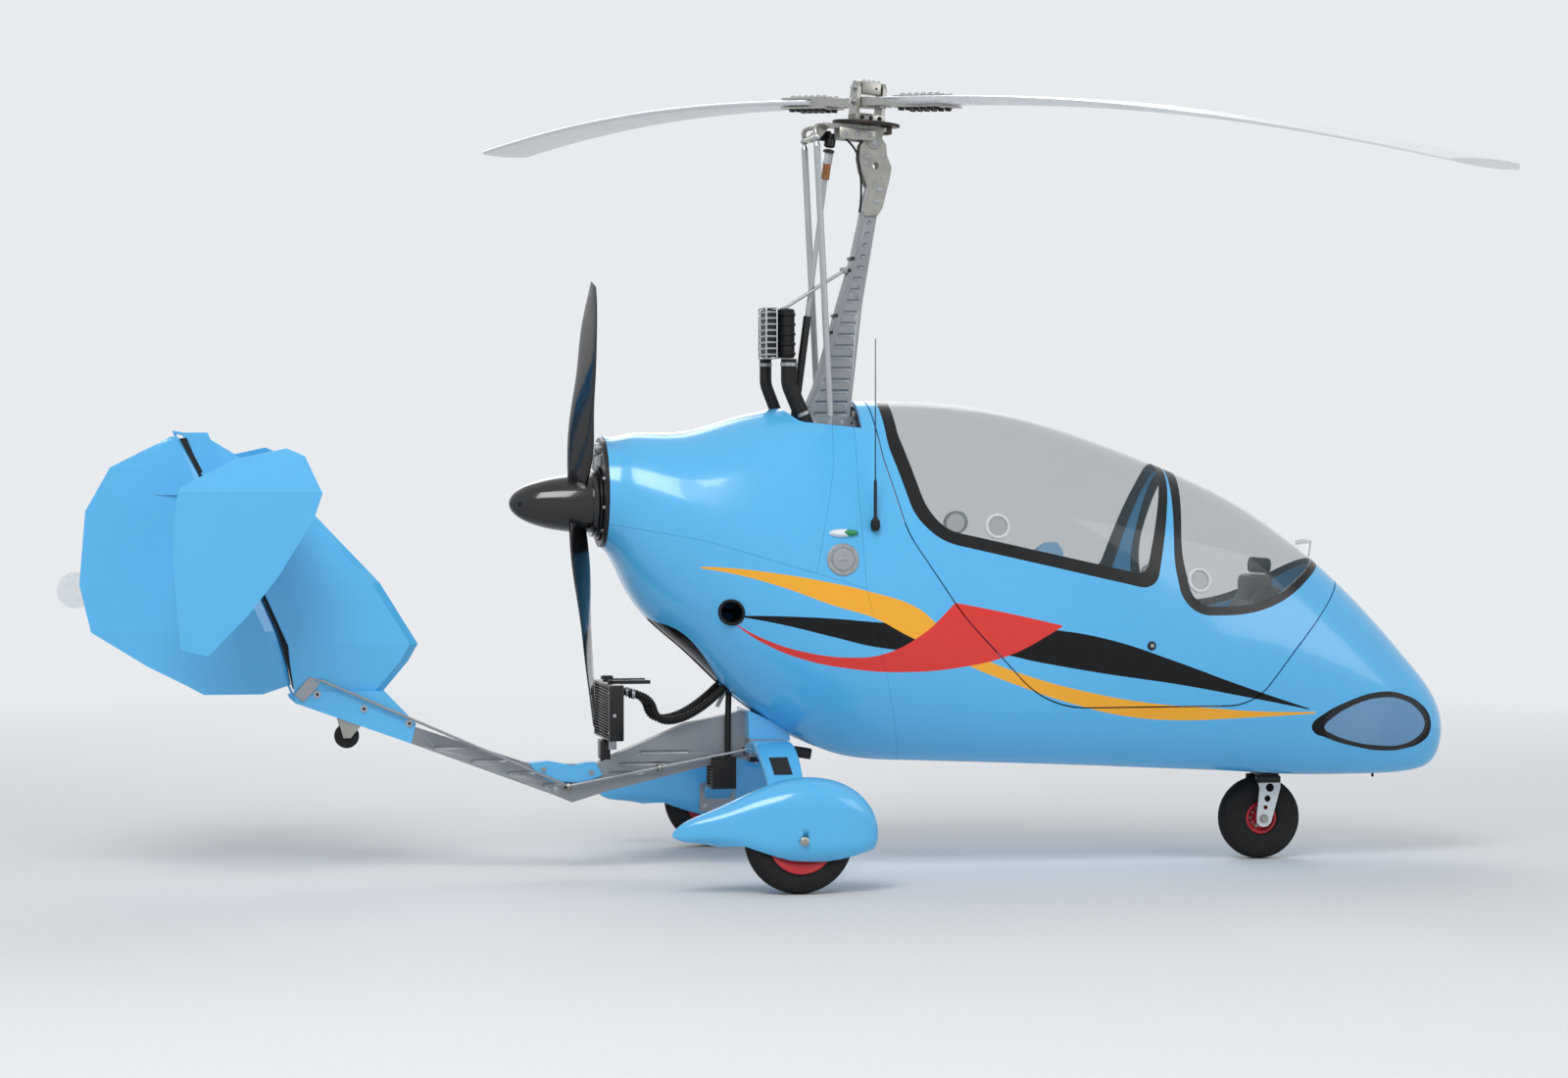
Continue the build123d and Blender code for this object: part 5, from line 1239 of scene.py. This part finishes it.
class GYRO_OT_wheels(bpy.types.Operator):
    """Build the grooved tyres, rim flanges and bolts, nose fork, fairings and leg clamps"""

    bl_idname = "gyro.wheels"
    bl_label = "Wheels"

    def execute(self, context):
        for name, side in NAMED_SIDES:
            centre = Vector((MAIN_AXLE.x, side * MAIN_AXLE.y, MAIN_AXLE.z))
            treaded = fit(tyre(centre, 0.185, 0.052, 0.084, 5), f"{name}_wheel", "tyre_rubber", f"{name}_tyre")
            treaded.name = f"{name}_treaded_tyre"
            self.rim_bolts(f"{name}_rim_bolts", centre, 0.040, 6, f"{name}_wheel")
            flanges = [turned(RIM_FLANGE, centre, Vector((0, face, 0)), "rim_red", 48) for face in SIDES]
            fitted(f"{name}_rim_flanges", flanges, f"{name}_wheel", "rim_red")
        treaded = fit(tyre(NOSE_AXLE, 0.150, 0.046, 0.058, 5), "nose_wheel", "tyre_rubber", "nose_tyre")
        treaded.name = "nose_treaded_tyre"
        self.rim_bolts("nose_rim_bolts", NOSE_AXLE, 0.032, 5, "nose_wheel")
        self.nose_fork()
        self.gear_frame()
        self.step_pads()
        for name, side in NAMED_SIDES:
            self.spat(name, side)
        caps = []
        for side in SIDES:
            place = (MAIN_AXLE.x, side * 0.9315, MAIN_AXLE.z)
            caps.append(turned(AXLE_CAP, place, (0, side, 0), "head_steel", 24))
        fitted("axle_caps", caps, "airframe", "steel")
        return {"FINISHED"}

    def nose_fork(self):
        """Side plates with three holes, cap, stem and axle of the nose wheel's fork."""
        parts = [plate(FORK_PLATE, side * 0.062, 0.0075, "white_tube", FORK_HOLES) for side in SIDES]
        parts += [block((1.824, side * 0.0600, 0.2920), (0.092, 0.0155, 0.026), "black_steel", 0.003)
                  for side in SIDES]
        parts.append(block((1.830, 0, 0.3085), (0.070, 0.124, 0.008), "black_steel"))
        parts.append(rod((STEER_X, 0, 0.311), (STEER_X, 0, 0.402), 0.018, "head_steel", 24))
        ends = [(NOSE_AXLE.x, y, NOSE_AXLE.z) for y in (-0.076, 0.076)]
        parts.append(rod(*ends, 0.008, "head_steel", 20))
        parts += bolts(0.013, "head_steel", both_sides([(NOSE_AXLE.x, NOSE_AXLE.z)], 0.0655))
        fitted("nose_fork_plates", parts, "nose_fork", "black_steel", "nose_fork")

    def spat(self, name, side):
        """Wheel fairing, its lower edge cut in one smooth line, and the plate that holds it to the leg."""
        shape = node_copy(f"{name}_spat", f"{name}_trimmed_spat")
        below = [*SPAT_EDGE, (SPAT_EDGE[-1][0], SPAT_CUT_LOW), (SPAT_EDGE[0][0], SPAT_CUT_LOW)]
        cut(shape, plate(below, side * MAIN_AXLE.y, 0.30, "body_paint"))
        fit(coat(shape, "body_paint", 40), "airframe", "body_paint", f"{name}_spat")
        parts = [plate(SPAT_BRACKET, side * 0.7345, 0.005, "bare_aluminium")]
        parts += bolts(0.007, "bolt_steel", [((x, side * 0.732, 0.160), (0, -side, 0)) for x in (-0.112, -0.016)])
        fitted(f"{name}_spat_bracket", parts, "airframe", "bare_aluminium")

    def gear_frame(self):
        """Blue pylon over the bright clamp that holds the main legs under the keel."""
        pylon = plate(GEAR_PYLON, 0, 0.224, "body_paint", bevel=0.003)
        fit(pylon, "airframe", "body_paint", "gear_frame").name = "gear_pylon"
        parts = [plate(LEG_CLAMP, 0, 0.226, "bare_aluminium", bevel=0.002)]
        parts.append(plate(CLAMP_SOLE, 0, 0.200, "black_steel", bevel=0.002))
        parts.append(block((0.110, 0, 0.410), (0.064, 0.052, 0.038), "black_steel", 0.004, (0, 0.16, 0)))
        parts += bolts(0.0075, "bolt_steel", both_sides([(-0.082, 0.437), (0.018, 0.437)], 0.1132))
        below = [(x, side * y, 0.3875) for x in (-0.075, 0.040) for y in (0.05, 0.085) for side in SIDES]
        parts += bolts(0.0065, "bolt_steel", [(place, (0, 0, -1)) for place in below])
        fitted("leg_clamps", parts, "airframe", "bare_aluminium")

    def step_pads(self):
        """Dark rubber pads on top of the main legs."""
        parts = []
        for name, side in NAMED_SIDES:
            place, normal = first_hit([f"{name}_leg"], (STEP_X, side * STEP_Y, 1.0), (0, 0, -1))
            across = X_AXIS.cross(normal).normalized()
            turn = Matrix((across.cross(normal), across, normal)).transposed().to_4x4()
            pad = block((0, 0, 0.0008), STEP_PAD, "grip_tape", 0.001)
            parts += moved([pad], Matrix.Translation(place) @ turn)
        fitted("step_pads", parts, "airframe", "hose_rubber")

    def rim_bolts(self, name, centre, circle, count, body):
        """Bolts round both faces of a rim."""
        places = []
        for i in range(count):
            angle = 2 * pi * (i + 0.5) / count
            around = Vector((circle * cos(angle), 0, circle * sin(angle)))
            places += [(centre + around + Vector((0, side * 0.006, 0)), (0, side, 0)) for side in SIDES]
        fitted(name, bolts(0.0055, "head_steel", places), body, "steel")


# The cushion is made a little smaller than its place, then filled for this many frames at this pressure
PAD_SHRINK = (0.95, 0.93, 0.95, 1)
FILL_FRAMES = 20
FILL_PRESSURE = 4.0


def stuffed(piece):
    """Cover pushed out by its stuffing, each point by no more than the pad's rise."""
    centre = sum((v.co for v in piece.data.vertices), Vector()) / len(piece.data.vertices)
    smaller = Matrix.Diagonal(PAD_SHRINK)
    piece.data.transform(Matrix.Translation(centre) @ smaller @ Matrix.Translation(-centre))
    modify(piece, "REMESH", mode="VOXEL", voxel_size=sizes().pad_voxel)
    rest = [v.co.copy() for v in piece.data.vertices]
    cloth = piece.modifiers.new("cloth", "CLOTH")
    cloth.settings.use_pressure = True
    cloth.settings.uniform_pressure_force = FILL_PRESSURE
    cloth.settings.effector_weights.gravity = 0.0
    cloth.point_cache.frame_start = 1
    cloth.point_cache.frame_end = FILL_FRAMES
    for step in range(1, FILL_FRAMES + 1):
        bpy.context.scene.frame_set(step)
    select_only(piece)
    bpy.ops.object.modifier_apply(modifier=cloth.name)
    bpy.context.scene.frame_set(1)
    limit = sizes().pad_rise
    for vertex, start in zip(piece.data.vertices, rest):
        push = vertex.co - start
        if push.length > limit:
            vertex.co = start + push * (limit / push.length)
    return modify(piece, "SUBSURF", levels=1, render_levels=1)


# Depth and width of a sewn line, how far from it the cover still sinks, in widths, and the least dot product
# with the way outward that counts as the pad's face
SEAM_DEPTH = 0.007
SEAM_WIDTH = 0.006
SEAM_REACH = 3
SEAM_FACING = 0.25


def sew_channels(piece, origin, along, outward, lines):
    """Presses sewn lines across the face of a pad that looks outward."""
    for vertex in piece.data.vertices:
        if vertex.normal.dot(outward) < SEAM_FACING:
            continue
        distance = (vertex.co - origin).dot(along)
        for line in lines:
            gap = (distance - line) / SEAM_WIDTH
            if abs(gap) < SEAM_REACH:
                vertex.co -= outward * SEAM_DEPTH * 2.718 ** (-gap * gap)


# Origin, direction and outward way of the back rest's and the seat pan's sewn lines, and the lines' distances
BACK_SEAMS = ((0.4768, 0, 0.650), (-0.150, 0, 0.570), (0.570, 0, 0.150), (0.10, 0.20, 0.30, 0.39))
PAN_SEAMS = ((0.502, 0, 0.5606), (0.380, 0, 0.040), (-0.040, 0, 0.380), (0.11, 0.20, 0.29))
# The front seat's place relative to the rear one
SEAT_SHIFTS = {"front": (0.545, 0, -0.020), "rear": ORIGIN}
STRAP_LINE = [(0.398, 0.050, 1.060), (0.440, 0.060, 1.020), (0.480, 0.070, 0.900), (0.540, 0.080, 0.720),
              (0.600, 0.060, 0.668)]
STRAP_WIDTH = 0.042
STRAP_THICKNESS = 0.0022
# Front head pad: z above which it is drawn up, and height, radius and y of the arch that the canopy leaves free
ARCH_FOOT = 0.96
ARCH_Z = 0.580
ARCH_RADIUS = 0.685
ARCH_Y = 0.372


class GYRO_OT_seats(bpy.types.Operator):
    """Build the padded cushions and the harness of both seats"""

    bl_idname = "gyro.seats"
    bl_label = "Seats"

    def execute(self, context):
        both = node_copy("rear_cushions", "pads")
        select_only(both)
        bpy.ops.object.mode_set(mode="EDIT")
        bpy.ops.mesh.select_all(action="SELECT")
        bpy.ops.mesh.separate(type="LOOSE")
        bpy.ops.object.mode_set(mode="OBJECT")
        pads = sorted(context.selected_objects, key=lambda o: max(v.co.z for v in o.data.vertices))
        pan, back = [stuffed(p) for p in pads]
        for pad, (origin, along, outward, lines) in ((back, BACK_SEAMS), (pan, PAN_SEAMS)):
            sew_channels(pad, Vector(origin), Vector(along).normalized(), Vector(outward).normalized(), lines)
        for seat, shift in SEAT_SHIFTS.items():
            for part, pad in (("pan", pan), ("back", back)):
                twin = copy_to(pad, Matrix.Translation(shift))
                if seat == "front" and part == "back":
                    self.raise_head(twin)
                twin.name = f"{seat}_{part}_cushion"
                twin.data.name = twin.name
                coat(twin, "upholstery", 60)
                fit(twin, "airframe", "cushion_blue", f"{seat}_cushions")
        bpy.data.objects.remove(pan)
        bpy.data.objects.remove(back)
        for seat, (dx, dy, dz) in SEAT_SHIFTS.items():
            straps = []
            for side in SIDES:
                line = [(x + dx, side * y + dy, z + dz) for x, y, z in STRAP_LINE]
                straps.append(ribbon(line, STRAP_WIDTH, STRAP_THICKNESS, "harness"))
            fitted(f"{seat}_harness", straps, "airframe", "seat_shell_grey")
        return {"FINISHED"}

    def raise_head(self, pad):
        """Top of the front back rest drawn up in an arch, clear of the canopy as it swings."""
        for vertex in pad.data.vertices:
            place = vertex.co
            rise = place.z - ARCH_FOOT
            if rise > 0:
                arch = ARCH_Z + (ARCH_RADIUS ** 2 - (ARCH_Y + abs(place.y)) ** 2) ** 0.5
                place.x += min(0.10, rise * 0.75)
                place.z = min(place.z + rise * 0.9, arch - 0.003 * (1.2 - place.z))


# Rows of instruments: x, z and the way they face
DIAL_ROWS = ((1.7472, 0.890, Vector((-0.916, 0, 0.400))), (1.7219, 0.800, Vector((-0.977, 0, 0.214))))
DIAL_SPREAD = (-0.070, 0, 0.070)
DIAL_RIM = [(0, 0.001), (0.026, 0.001), (0.026, 0.006), (0.030, 0.006), (0.030, -0.002), (0, -0.002)]
DIAL_FACE = [(0, 0.0005), (0.025, 0.0005), (0.025, 0.003), (0, 0.003)]
POD_HOOD = [(1.738, 0.868), (1.793, 0.992), (1.855, 0.966), (1.862, 0.972), (1.795, 1.004), (1.780, 1.000),
            (1.715, 0.872)]
DRUM = [(0, 0), (0.024, 0), (0.0285, 0.006), (0.0285, 0.068), (0.026, 0.074), (0.022, 0.074), (0.021, 0.070),
        (0, 0.070)]
# Right half of the grab frame, mirrored for the left one
GRAB_HALF = [(0.920, -0.1125, 0.755), (0.910, -0.1125, 0.915), (0.890, -0.0975, 1.035), (0.875, -0.0525, 1.115)]
STICK = [(1.50, 0, 0.44), (1.50, 0, 0.60), (1.47, 0, 0.72), (1.46, 0, 0.80)]
STICK_GRIP = [(0, 0), (0.014, 0), (0.018, 0.02), (0.015, 0.05), (0.019, 0.09), (0.016, 0.115), (0, 0.12)]


class GYRO_OT_cabin(bpy.types.Operator):
    """Build the instruments, the grab frame and the control stick"""

    bl_idname = "gyro.cabin"
    bl_label = "Cabin"

    def execute(self, context):
        dials = []
        for x, z, facing in DIAL_ROWS:
            for y in DIAL_SPREAD:
                dials.append(turned(DIAL_RIM, (x, y, z), facing, "panel_black", 32))
                dials.append(turned(DIAL_FACE, (x, y, z), facing, "dial_white", 32))
        dials.append(plate(POD_HOOD, 0, 0.250, "panel_black", bevel=0.003))
        dials.append(block((1.790, 0, 0.945), (0.085, 0.180, 0.180), "panel_black", 0.022))
        dials.append(turned(DRUM, (1.846, 0.004, 1.064), (-1, 0, 0.08), "panel_black", 32))
        fitted("instruments", dials, "airframe", "panel_black")

        bar = tube(GRAB_HALF + [(x, -y, z) for x, y, z in reversed(GRAB_HALF)], 0.011, "grey_rod")
        fitted("grab_frame", [bar], "airframe", "black_steel")

        stick = [tube(STICK, 0.010, "black_steel")]
        stick.append(turned(STICK_GRIP, (1.462, 0, 0.770), (-0.08, 0, 1), "hose_rubber", 24))
        fitted("control_stick", stick, "airframe", "black_steel")
        return {"FINISHED"}


COWLING = ["upper_cowl", "filler_panel", "lower_cowl"]
# x, z of the window vents, and their turned profiles
VENTS = ((0.749, 1.220), (1.491, 1.025))
VENT_RING = [(0.034, -0.004), (0.046, -0.004), (0.046, 0.003), (0.042, 0.007), (0.036, 0.007), (0.034, 0.003),
             (0.034, -0.004)]
VENT_PANE = [(0, 0.0015), (0.034, 0.0015), (0.034, 0.003), (0, 0.003)]
FUEL_CAP = [(0, -0.004), (0.057, -0.004), (0.057, 0.002), (0.054, 0.004), (0.042, 0.004), (0.041, 0.002),
            (0.038, 0.002), (0.037, 0.006), (0.012, 0.007), (0, 0.007)]
CAP_BOLT_CIRCLE = 0.0475
# Name, side and lens of the position lamps, and the profiles of their base and lens
POSITION_LAMPS = (("right_nav_lamp", -1, "lens_green"), ("left_nav_lamp", 1, "lens_red"))
LAMP_BASE = [(0, 0), (0.020, 0), (0.019, 0.008), (0.013, 0.016), (0, 0.020)]
LAMP_LENS = [(0, 0), (0.016, 0), (0.014, 0.012), (0.008, 0.019), (0, 0.022)]
LAMP_STRETCH = (2.2, 0.75, 1, 1)
AERIAL = [(0, -0.030), (0.012, -0.028), (0.017, -0.012), (0.016, 0.006), (0.008, 0.016), (0.006, 0.022),
          (0.006, 0.140), (0.003, 0.150), (0.0022, 0.160), (0.0016, 0.640), (0, 0.642)]
EXHAUST_RIM = [(0.036, -0.004), (0.045, -0.004), (0.048, 0.002), (0.045, 0.006), (0.040, 0.006), (0.037, 0.002),
               (0.036, -0.004)]
LATCH_BASE = [(0, -0.002), (0.016, -0.002), (0.016, 0.002), (0.012, 0.004), (0, 0.004)]
LATCH_KEY = [(0, 0.003), (0.008, 0.003), (0.007, 0.007), (0, 0.008)]
# Seams of the engine cowling that are riveted, as x, z
RIVET_SEAMS = (
    [(-0.560, 1.205), (-0.287, 1.152), (0.060, 1.048)],
    [(-0.560, 1.245), (-0.287, 1.195), (0.070, 1.090)],
    [(0.150, 1.420), (0.105, 1.250), (0.072, 1.110)],
    [(0.238, 1.420), (0.238, 1.330), (0.246, 1.090)],
    [(0.255, 0.990), (0.325, 0.710), (0.380, 0.500)],
)


class GYRO_OT_skin_fittings(bpy.types.Operator):
    """Add what is fastened to the skin: vents, fuel cap, lamps, aerial, latch, rivets and vane"""

    bl_idname = "gyro.skin_fittings"
    bl_label = "Skin fittings"

    def execute(self, context):
        vents = []
        for x, z in VENTS:
            for side in SIDES:
                place, normal = on_skin(["canopy_panes"], x, z, side)
                vents.append(turned(VENT_RING, place, normal, "clear_disc", 32))
                vents.append(turned(VENT_PANE, place, normal, "clear_glazing", 32))
        fitted("window_vents", vents, "canopy", "clear_glazing")
        self.fuel_cap()
        for name, side, lens in POSITION_LAMPS:
            self.position_lamp(name, side, lens)

        aerial = [turned(AERIAL, (0.304, -0.345, 1.235), Z_AXIS, "panel_black", 20)]
        fitted("aerial", aerial, "airframe", "panel_black", "antenna")
        exhaust = [turned(EXHAUST_RIM, (-0.195, -0.290, 0.924), (-0.35, -1, -0.25), "hose_rubber", 40)]
        fitted("exhaust_rim", exhaust, "airframe", "black_steel")

        place, normal = on_skin(["canopy_frame"], 1.301, 0.796, -1)
        latch = [turned(LATCH_BASE, place, normal, "panel_black", 32)]
        latch.append(turned(LATCH_KEY, place, normal, "bare_aluminium", 24))
        fitted("canopy_latch", latch, "canopy", "steel")

        self.rivets()
        under = [rod((2.242, 0, 0.325), (2.242, 0, 0.290), 0.005, "black_steel")]
        under.append(turned(band(0.008, 0.013, -0.0025, 0.0025), (2.470, 0, 0.378), Y_AXIS, "bolt_steel", 24))
        fitted("belly_fittings", under, "airframe", "black_steel")

        place, _ = first_hit(["canopy_frame", "canopy_panes"], (1.985, -0.03, 2.0), (0, 0, -1))
        vane = [rod(place, place + Vector((0.008, 0, 0.058)), 0.0022, "bolt_steel", 10)]
        middle = place + Vector((-0.020, 0, 0.058))
        vane.append(block(middle, (0.062, 0.003, 0.018), "white_tube", 0.001, (0, -0.12, 0)))
        fitted("slip_vane", vane, "canopy", "steel")
        return {"FINISHED"}

    def fuel_cap(self):
        """Round cap with a rim of small bolts and a folding grip."""
        place, normal = on_skin(["filler_panel", "lower_cowl"], 0.188, 1.107, -1)
        parts = [turned(FUEL_CAP, place, normal, "bare_aluminium", 48)]
        flat = pointing(place, normal)
        outward = flat.to_3x3() @ Z_AXIS
        heads = []
        for a in range(8):
            angle = a * pi / 4
            around = Vector((CAP_BOLT_CIRCLE * cos(angle), CAP_BOLT_CIRCLE * sin(angle), 0.004))
            heads.append((flat @ around, outward))
        parts += bolts(0.0032, "head_steel", heads)
        grip = block(ORIGIN, (0.036, 0.007, 0.004), "bare_aluminium", 0.001)
        parts += moved([grip], flat @ Matrix.Translation((0, 0, 0.008)))
        fitted("fuel_cap", parts, "airframe", "bare_aluminium")

    def position_lamp(self, name, side, lens):
        """Drop-shaped lamp on the side of the cowling, its coloured lens to the front."""
        place, normal = on_skin(["filler_panel", "upper_cowl"], 0.185, 1.199, side)
        base = turned(LAMP_BASE, ORIGIN, Z_AXIS, "lens_white", 24)
        glass = turned(LAMP_LENS, ORIGIN, Z_AXIS, lens, 24)
        lamp = joined(name, [base, *moved([glass], Matrix.Translation((0.012, 0, 0)))])
        turn = Matrix((X_AXIS, normal.cross(X_AXIS), normal)).transposed().to_4x4()
        lamp.data.transform(Matrix.Diagonal(LAMP_STRETCH))
        lamp.data.transform(Matrix.Translation(place - normal * 0.001) @ turn)
        fit(lamp, "airframe", "clear_glazing")

    def rivets(self):
        """Round rivet heads beside the seams of the engine cowling."""
        radius = sizes().rivet
        profile = [(0, -0.0005), (radius, -0.0005), (radius * 0.8, radius * 0.3), (0, radius * 0.42)]
        head = turned(profile, ORIGIN, Z_AXIS, "body_paint", 8)
        spots = []
        for seam in RIVET_SEAMS:
            for (x0, z0), (x1, z1) in zip(seam, seam[1:]):
                steps = max(1, round(hypot(x1 - x0, z1 - z0) / sizes().rivet_pitch))
                spots += [(x0 + (x1 - x0) * i / steps, z0 + (z1 - z0) * i / steps) for i in range(steps)]
        matrices = [pointing(*on_skin(COWLING, x, z, side)) for x, z in spots for side in SIDES]
        fitted("rivets", copies(head, matrices), "airframe", "body_paint")


# x, z of the bolts that hold the fin to the keel
FIN_BOLTS = [(-1.612, 0.640), (-1.450, 0.588), (-1.292, 0.535)]
RUDDER_LEVER = [(-1.690, 0.640), (-1.640, 0.700), (-1.600, 0.690), (-1.620, 0.655), (-1.660, 0.615)]
# Rear edge of the fin as x, z, and z and radius of the rudder's rounded nose
FIN_EDGE = [(-1.690, 0.655), (-1.706, 0.751), (-1.712, 0.811), (-1.808, 1.026), (-1.930, 1.259), (-2.040, 1.469),
            (-2.066, 1.530)]
RUDDER_NOSE = [(0.660, 0.009), (0.741, 0.030), (0.860, 0.050), (1.026, 0.050), (1.278, 0.031), (1.429, 0.020),
               (1.528, 0.0105)]
# The rudder's hinge line: its x at a height, and how far x moves for each metre up
HINGE_X = -1.7020
HINGE_Z = 0.655
HINGE_SLOPE = 0.4438


class GYRO_OT_tail(bpy.types.Operator):
    """Add the fin's bolts, the rudder's lever and a dark strip of painted shade between fin and rudder"""

    bl_idname = "gyro.tail"
    bl_label = "Tail"

    def execute(self, context):
        places = both_sides(FIN_BOLTS, 0.0362)
        fins = bolts(0.010, "bolt_steel", places)
        fins += [turned(disc(0.0055, 0.0125), place, axis, "panel_black", 12) for place, axis in places]
        fitted("fin_bolts", fins, "airframe", "steel")
        self.gap_shade()
        lever = plate(RUDDER_LEVER, -0.040, 0.006, "bare_aluminium", [(-1.615, 0.688, 0.004)])
        fitted("rudder_lever", [lever], "airframe", "steel")
        return {"FINISHED"}

    def gap_shade(self):
        """Dark strip in the gap between the fin and the rudder, painted shade where the gap lies in shadow."""
        nose = [(HINGE_X - HINGE_SLOPE * (z - HINGE_Z) + 0.95 * radius + 0.002, z) for z, radius in RUDDER_NOSE]
        strip = [(x + 0.008, z) for x, z in FIN_EDGE] + nose[::-1]
        # A black plate stands for the shade in the gap between fin and rudder
        shade_strip = plate(strip, 0, 0.036, "panel_black", bevel=0.001)
        fit(shade_strip, "airframe", "black_steel").name = "hinge_gap_shade"


BACKWARD = (-1, 0, 0)
# Rear face of the engine plate: its x, and the middle and half axes of the ring of bolts
PLATE_FACE = -0.6193
PLATE_BOLTS = 10
PLATE_MIDDLE = 1.338
PLATE_HALF_WIDTH = 0.150
PLATE_HALF_HEIGHT = 0.163
PLUG = [(0, 0), (0.021, 0), (0.021, 0.016), (0.016, 0.021), (0, 0.021)]
SHAFT_RING = [(0.060, 0), (0.128, 0), (0.132, 0.004), (0.132, 0.010), (0.060, 0.012), (0.060, 0)]


class GYRO_OT_engine(bpy.types.Operator):
    """Add the bolts, the plug and the ring round the shaft to the engine plate"""

    bl_idname = "gyro.engine"
    bl_label = "Engine"

    def execute(self, context):
        places = []
        for i in range(PLATE_BOLTS):
            angle = 2 * pi * i / PLATE_BOLTS
            place = (PLATE_FACE, PLATE_HALF_WIDTH * sin(angle), PLATE_MIDDLE + PLATE_HALF_HEIGHT * cos(angle))
            places.append((place, BACKWARD))
        parts = bolts(0.006, "bolt_steel", places)
        parts.append(turned(PLUG, (PLATE_FACE, -0.030, 1.492), BACKWARD, "bolt_steel", 28))
        parts.append(block((-0.628, -0.045, 1.448), (0.018, 0.022, 0.034), "lens_white", 0.003))
        parts.append(turned(SHAFT_RING, (PLATE_FACE, 0, 1.300), BACKWARD, "plate_black", 48))
        fitted("engine_plate_bolts", parts, "airframe", "steel")
        return {"FINISHED"}


OPERATORS = (
    GYRO_OT_finishes, GYRO_OT_stage, GYRO_OT_mast, GYRO_OT_rotor_head, GYRO_OT_keel, GYRO_OT_coolers, GYRO_OT_hoses,
    GYRO_OT_wheels, GYRO_OT_seats, GYRO_OT_cabin, GYRO_OT_skin_fittings, GYRO_OT_tail, GYRO_OT_engine,
)


class GYRO_PT_panel(bpy.types.Panel):
    """Buttons and settings of the gyrocopter"""

    bl_label = "Gyrocopter"
    bl_space_type = "VIEW_3D"
    bl_region_type = "UI"
    bl_category = "Gyrocopter"

    def draw(self, context):
        for group in (context.scene.gyro_colours, context.scene.gyro_sizes):
            box = self.layout.box()
            for name in group.__annotations__:
                box.prop(group, name)
        for operator in OPERATORS:
            self.layout.operator(operator.bl_idname)


CLASSES = (GyroColours, GyroSizes, *OPERATORS, GYRO_PT_panel)


def register():
    for cls in CLASSES:
        bpy.utils.register_class(cls)
    bpy.types.Scene.gyro_colours = PointerProperty(type=GyroColours)
    bpy.types.Scene.gyro_sizes = PointerProperty(type=GyroSizes)


def unregister():
    del bpy.types.Scene.gyro_sizes
    del bpy.types.Scene.gyro_colours
    for cls in reversed(CLASSES):
        bpy.utils.unregister_class(cls)


def main():
    """Builds the dressed aircraft."""
    register()
    for operator in OPERATORS:
        getattr(bpy.ops.gyro, operator.bl_idname.split(".")[1])()


if __name__ == "__main__":
    main()
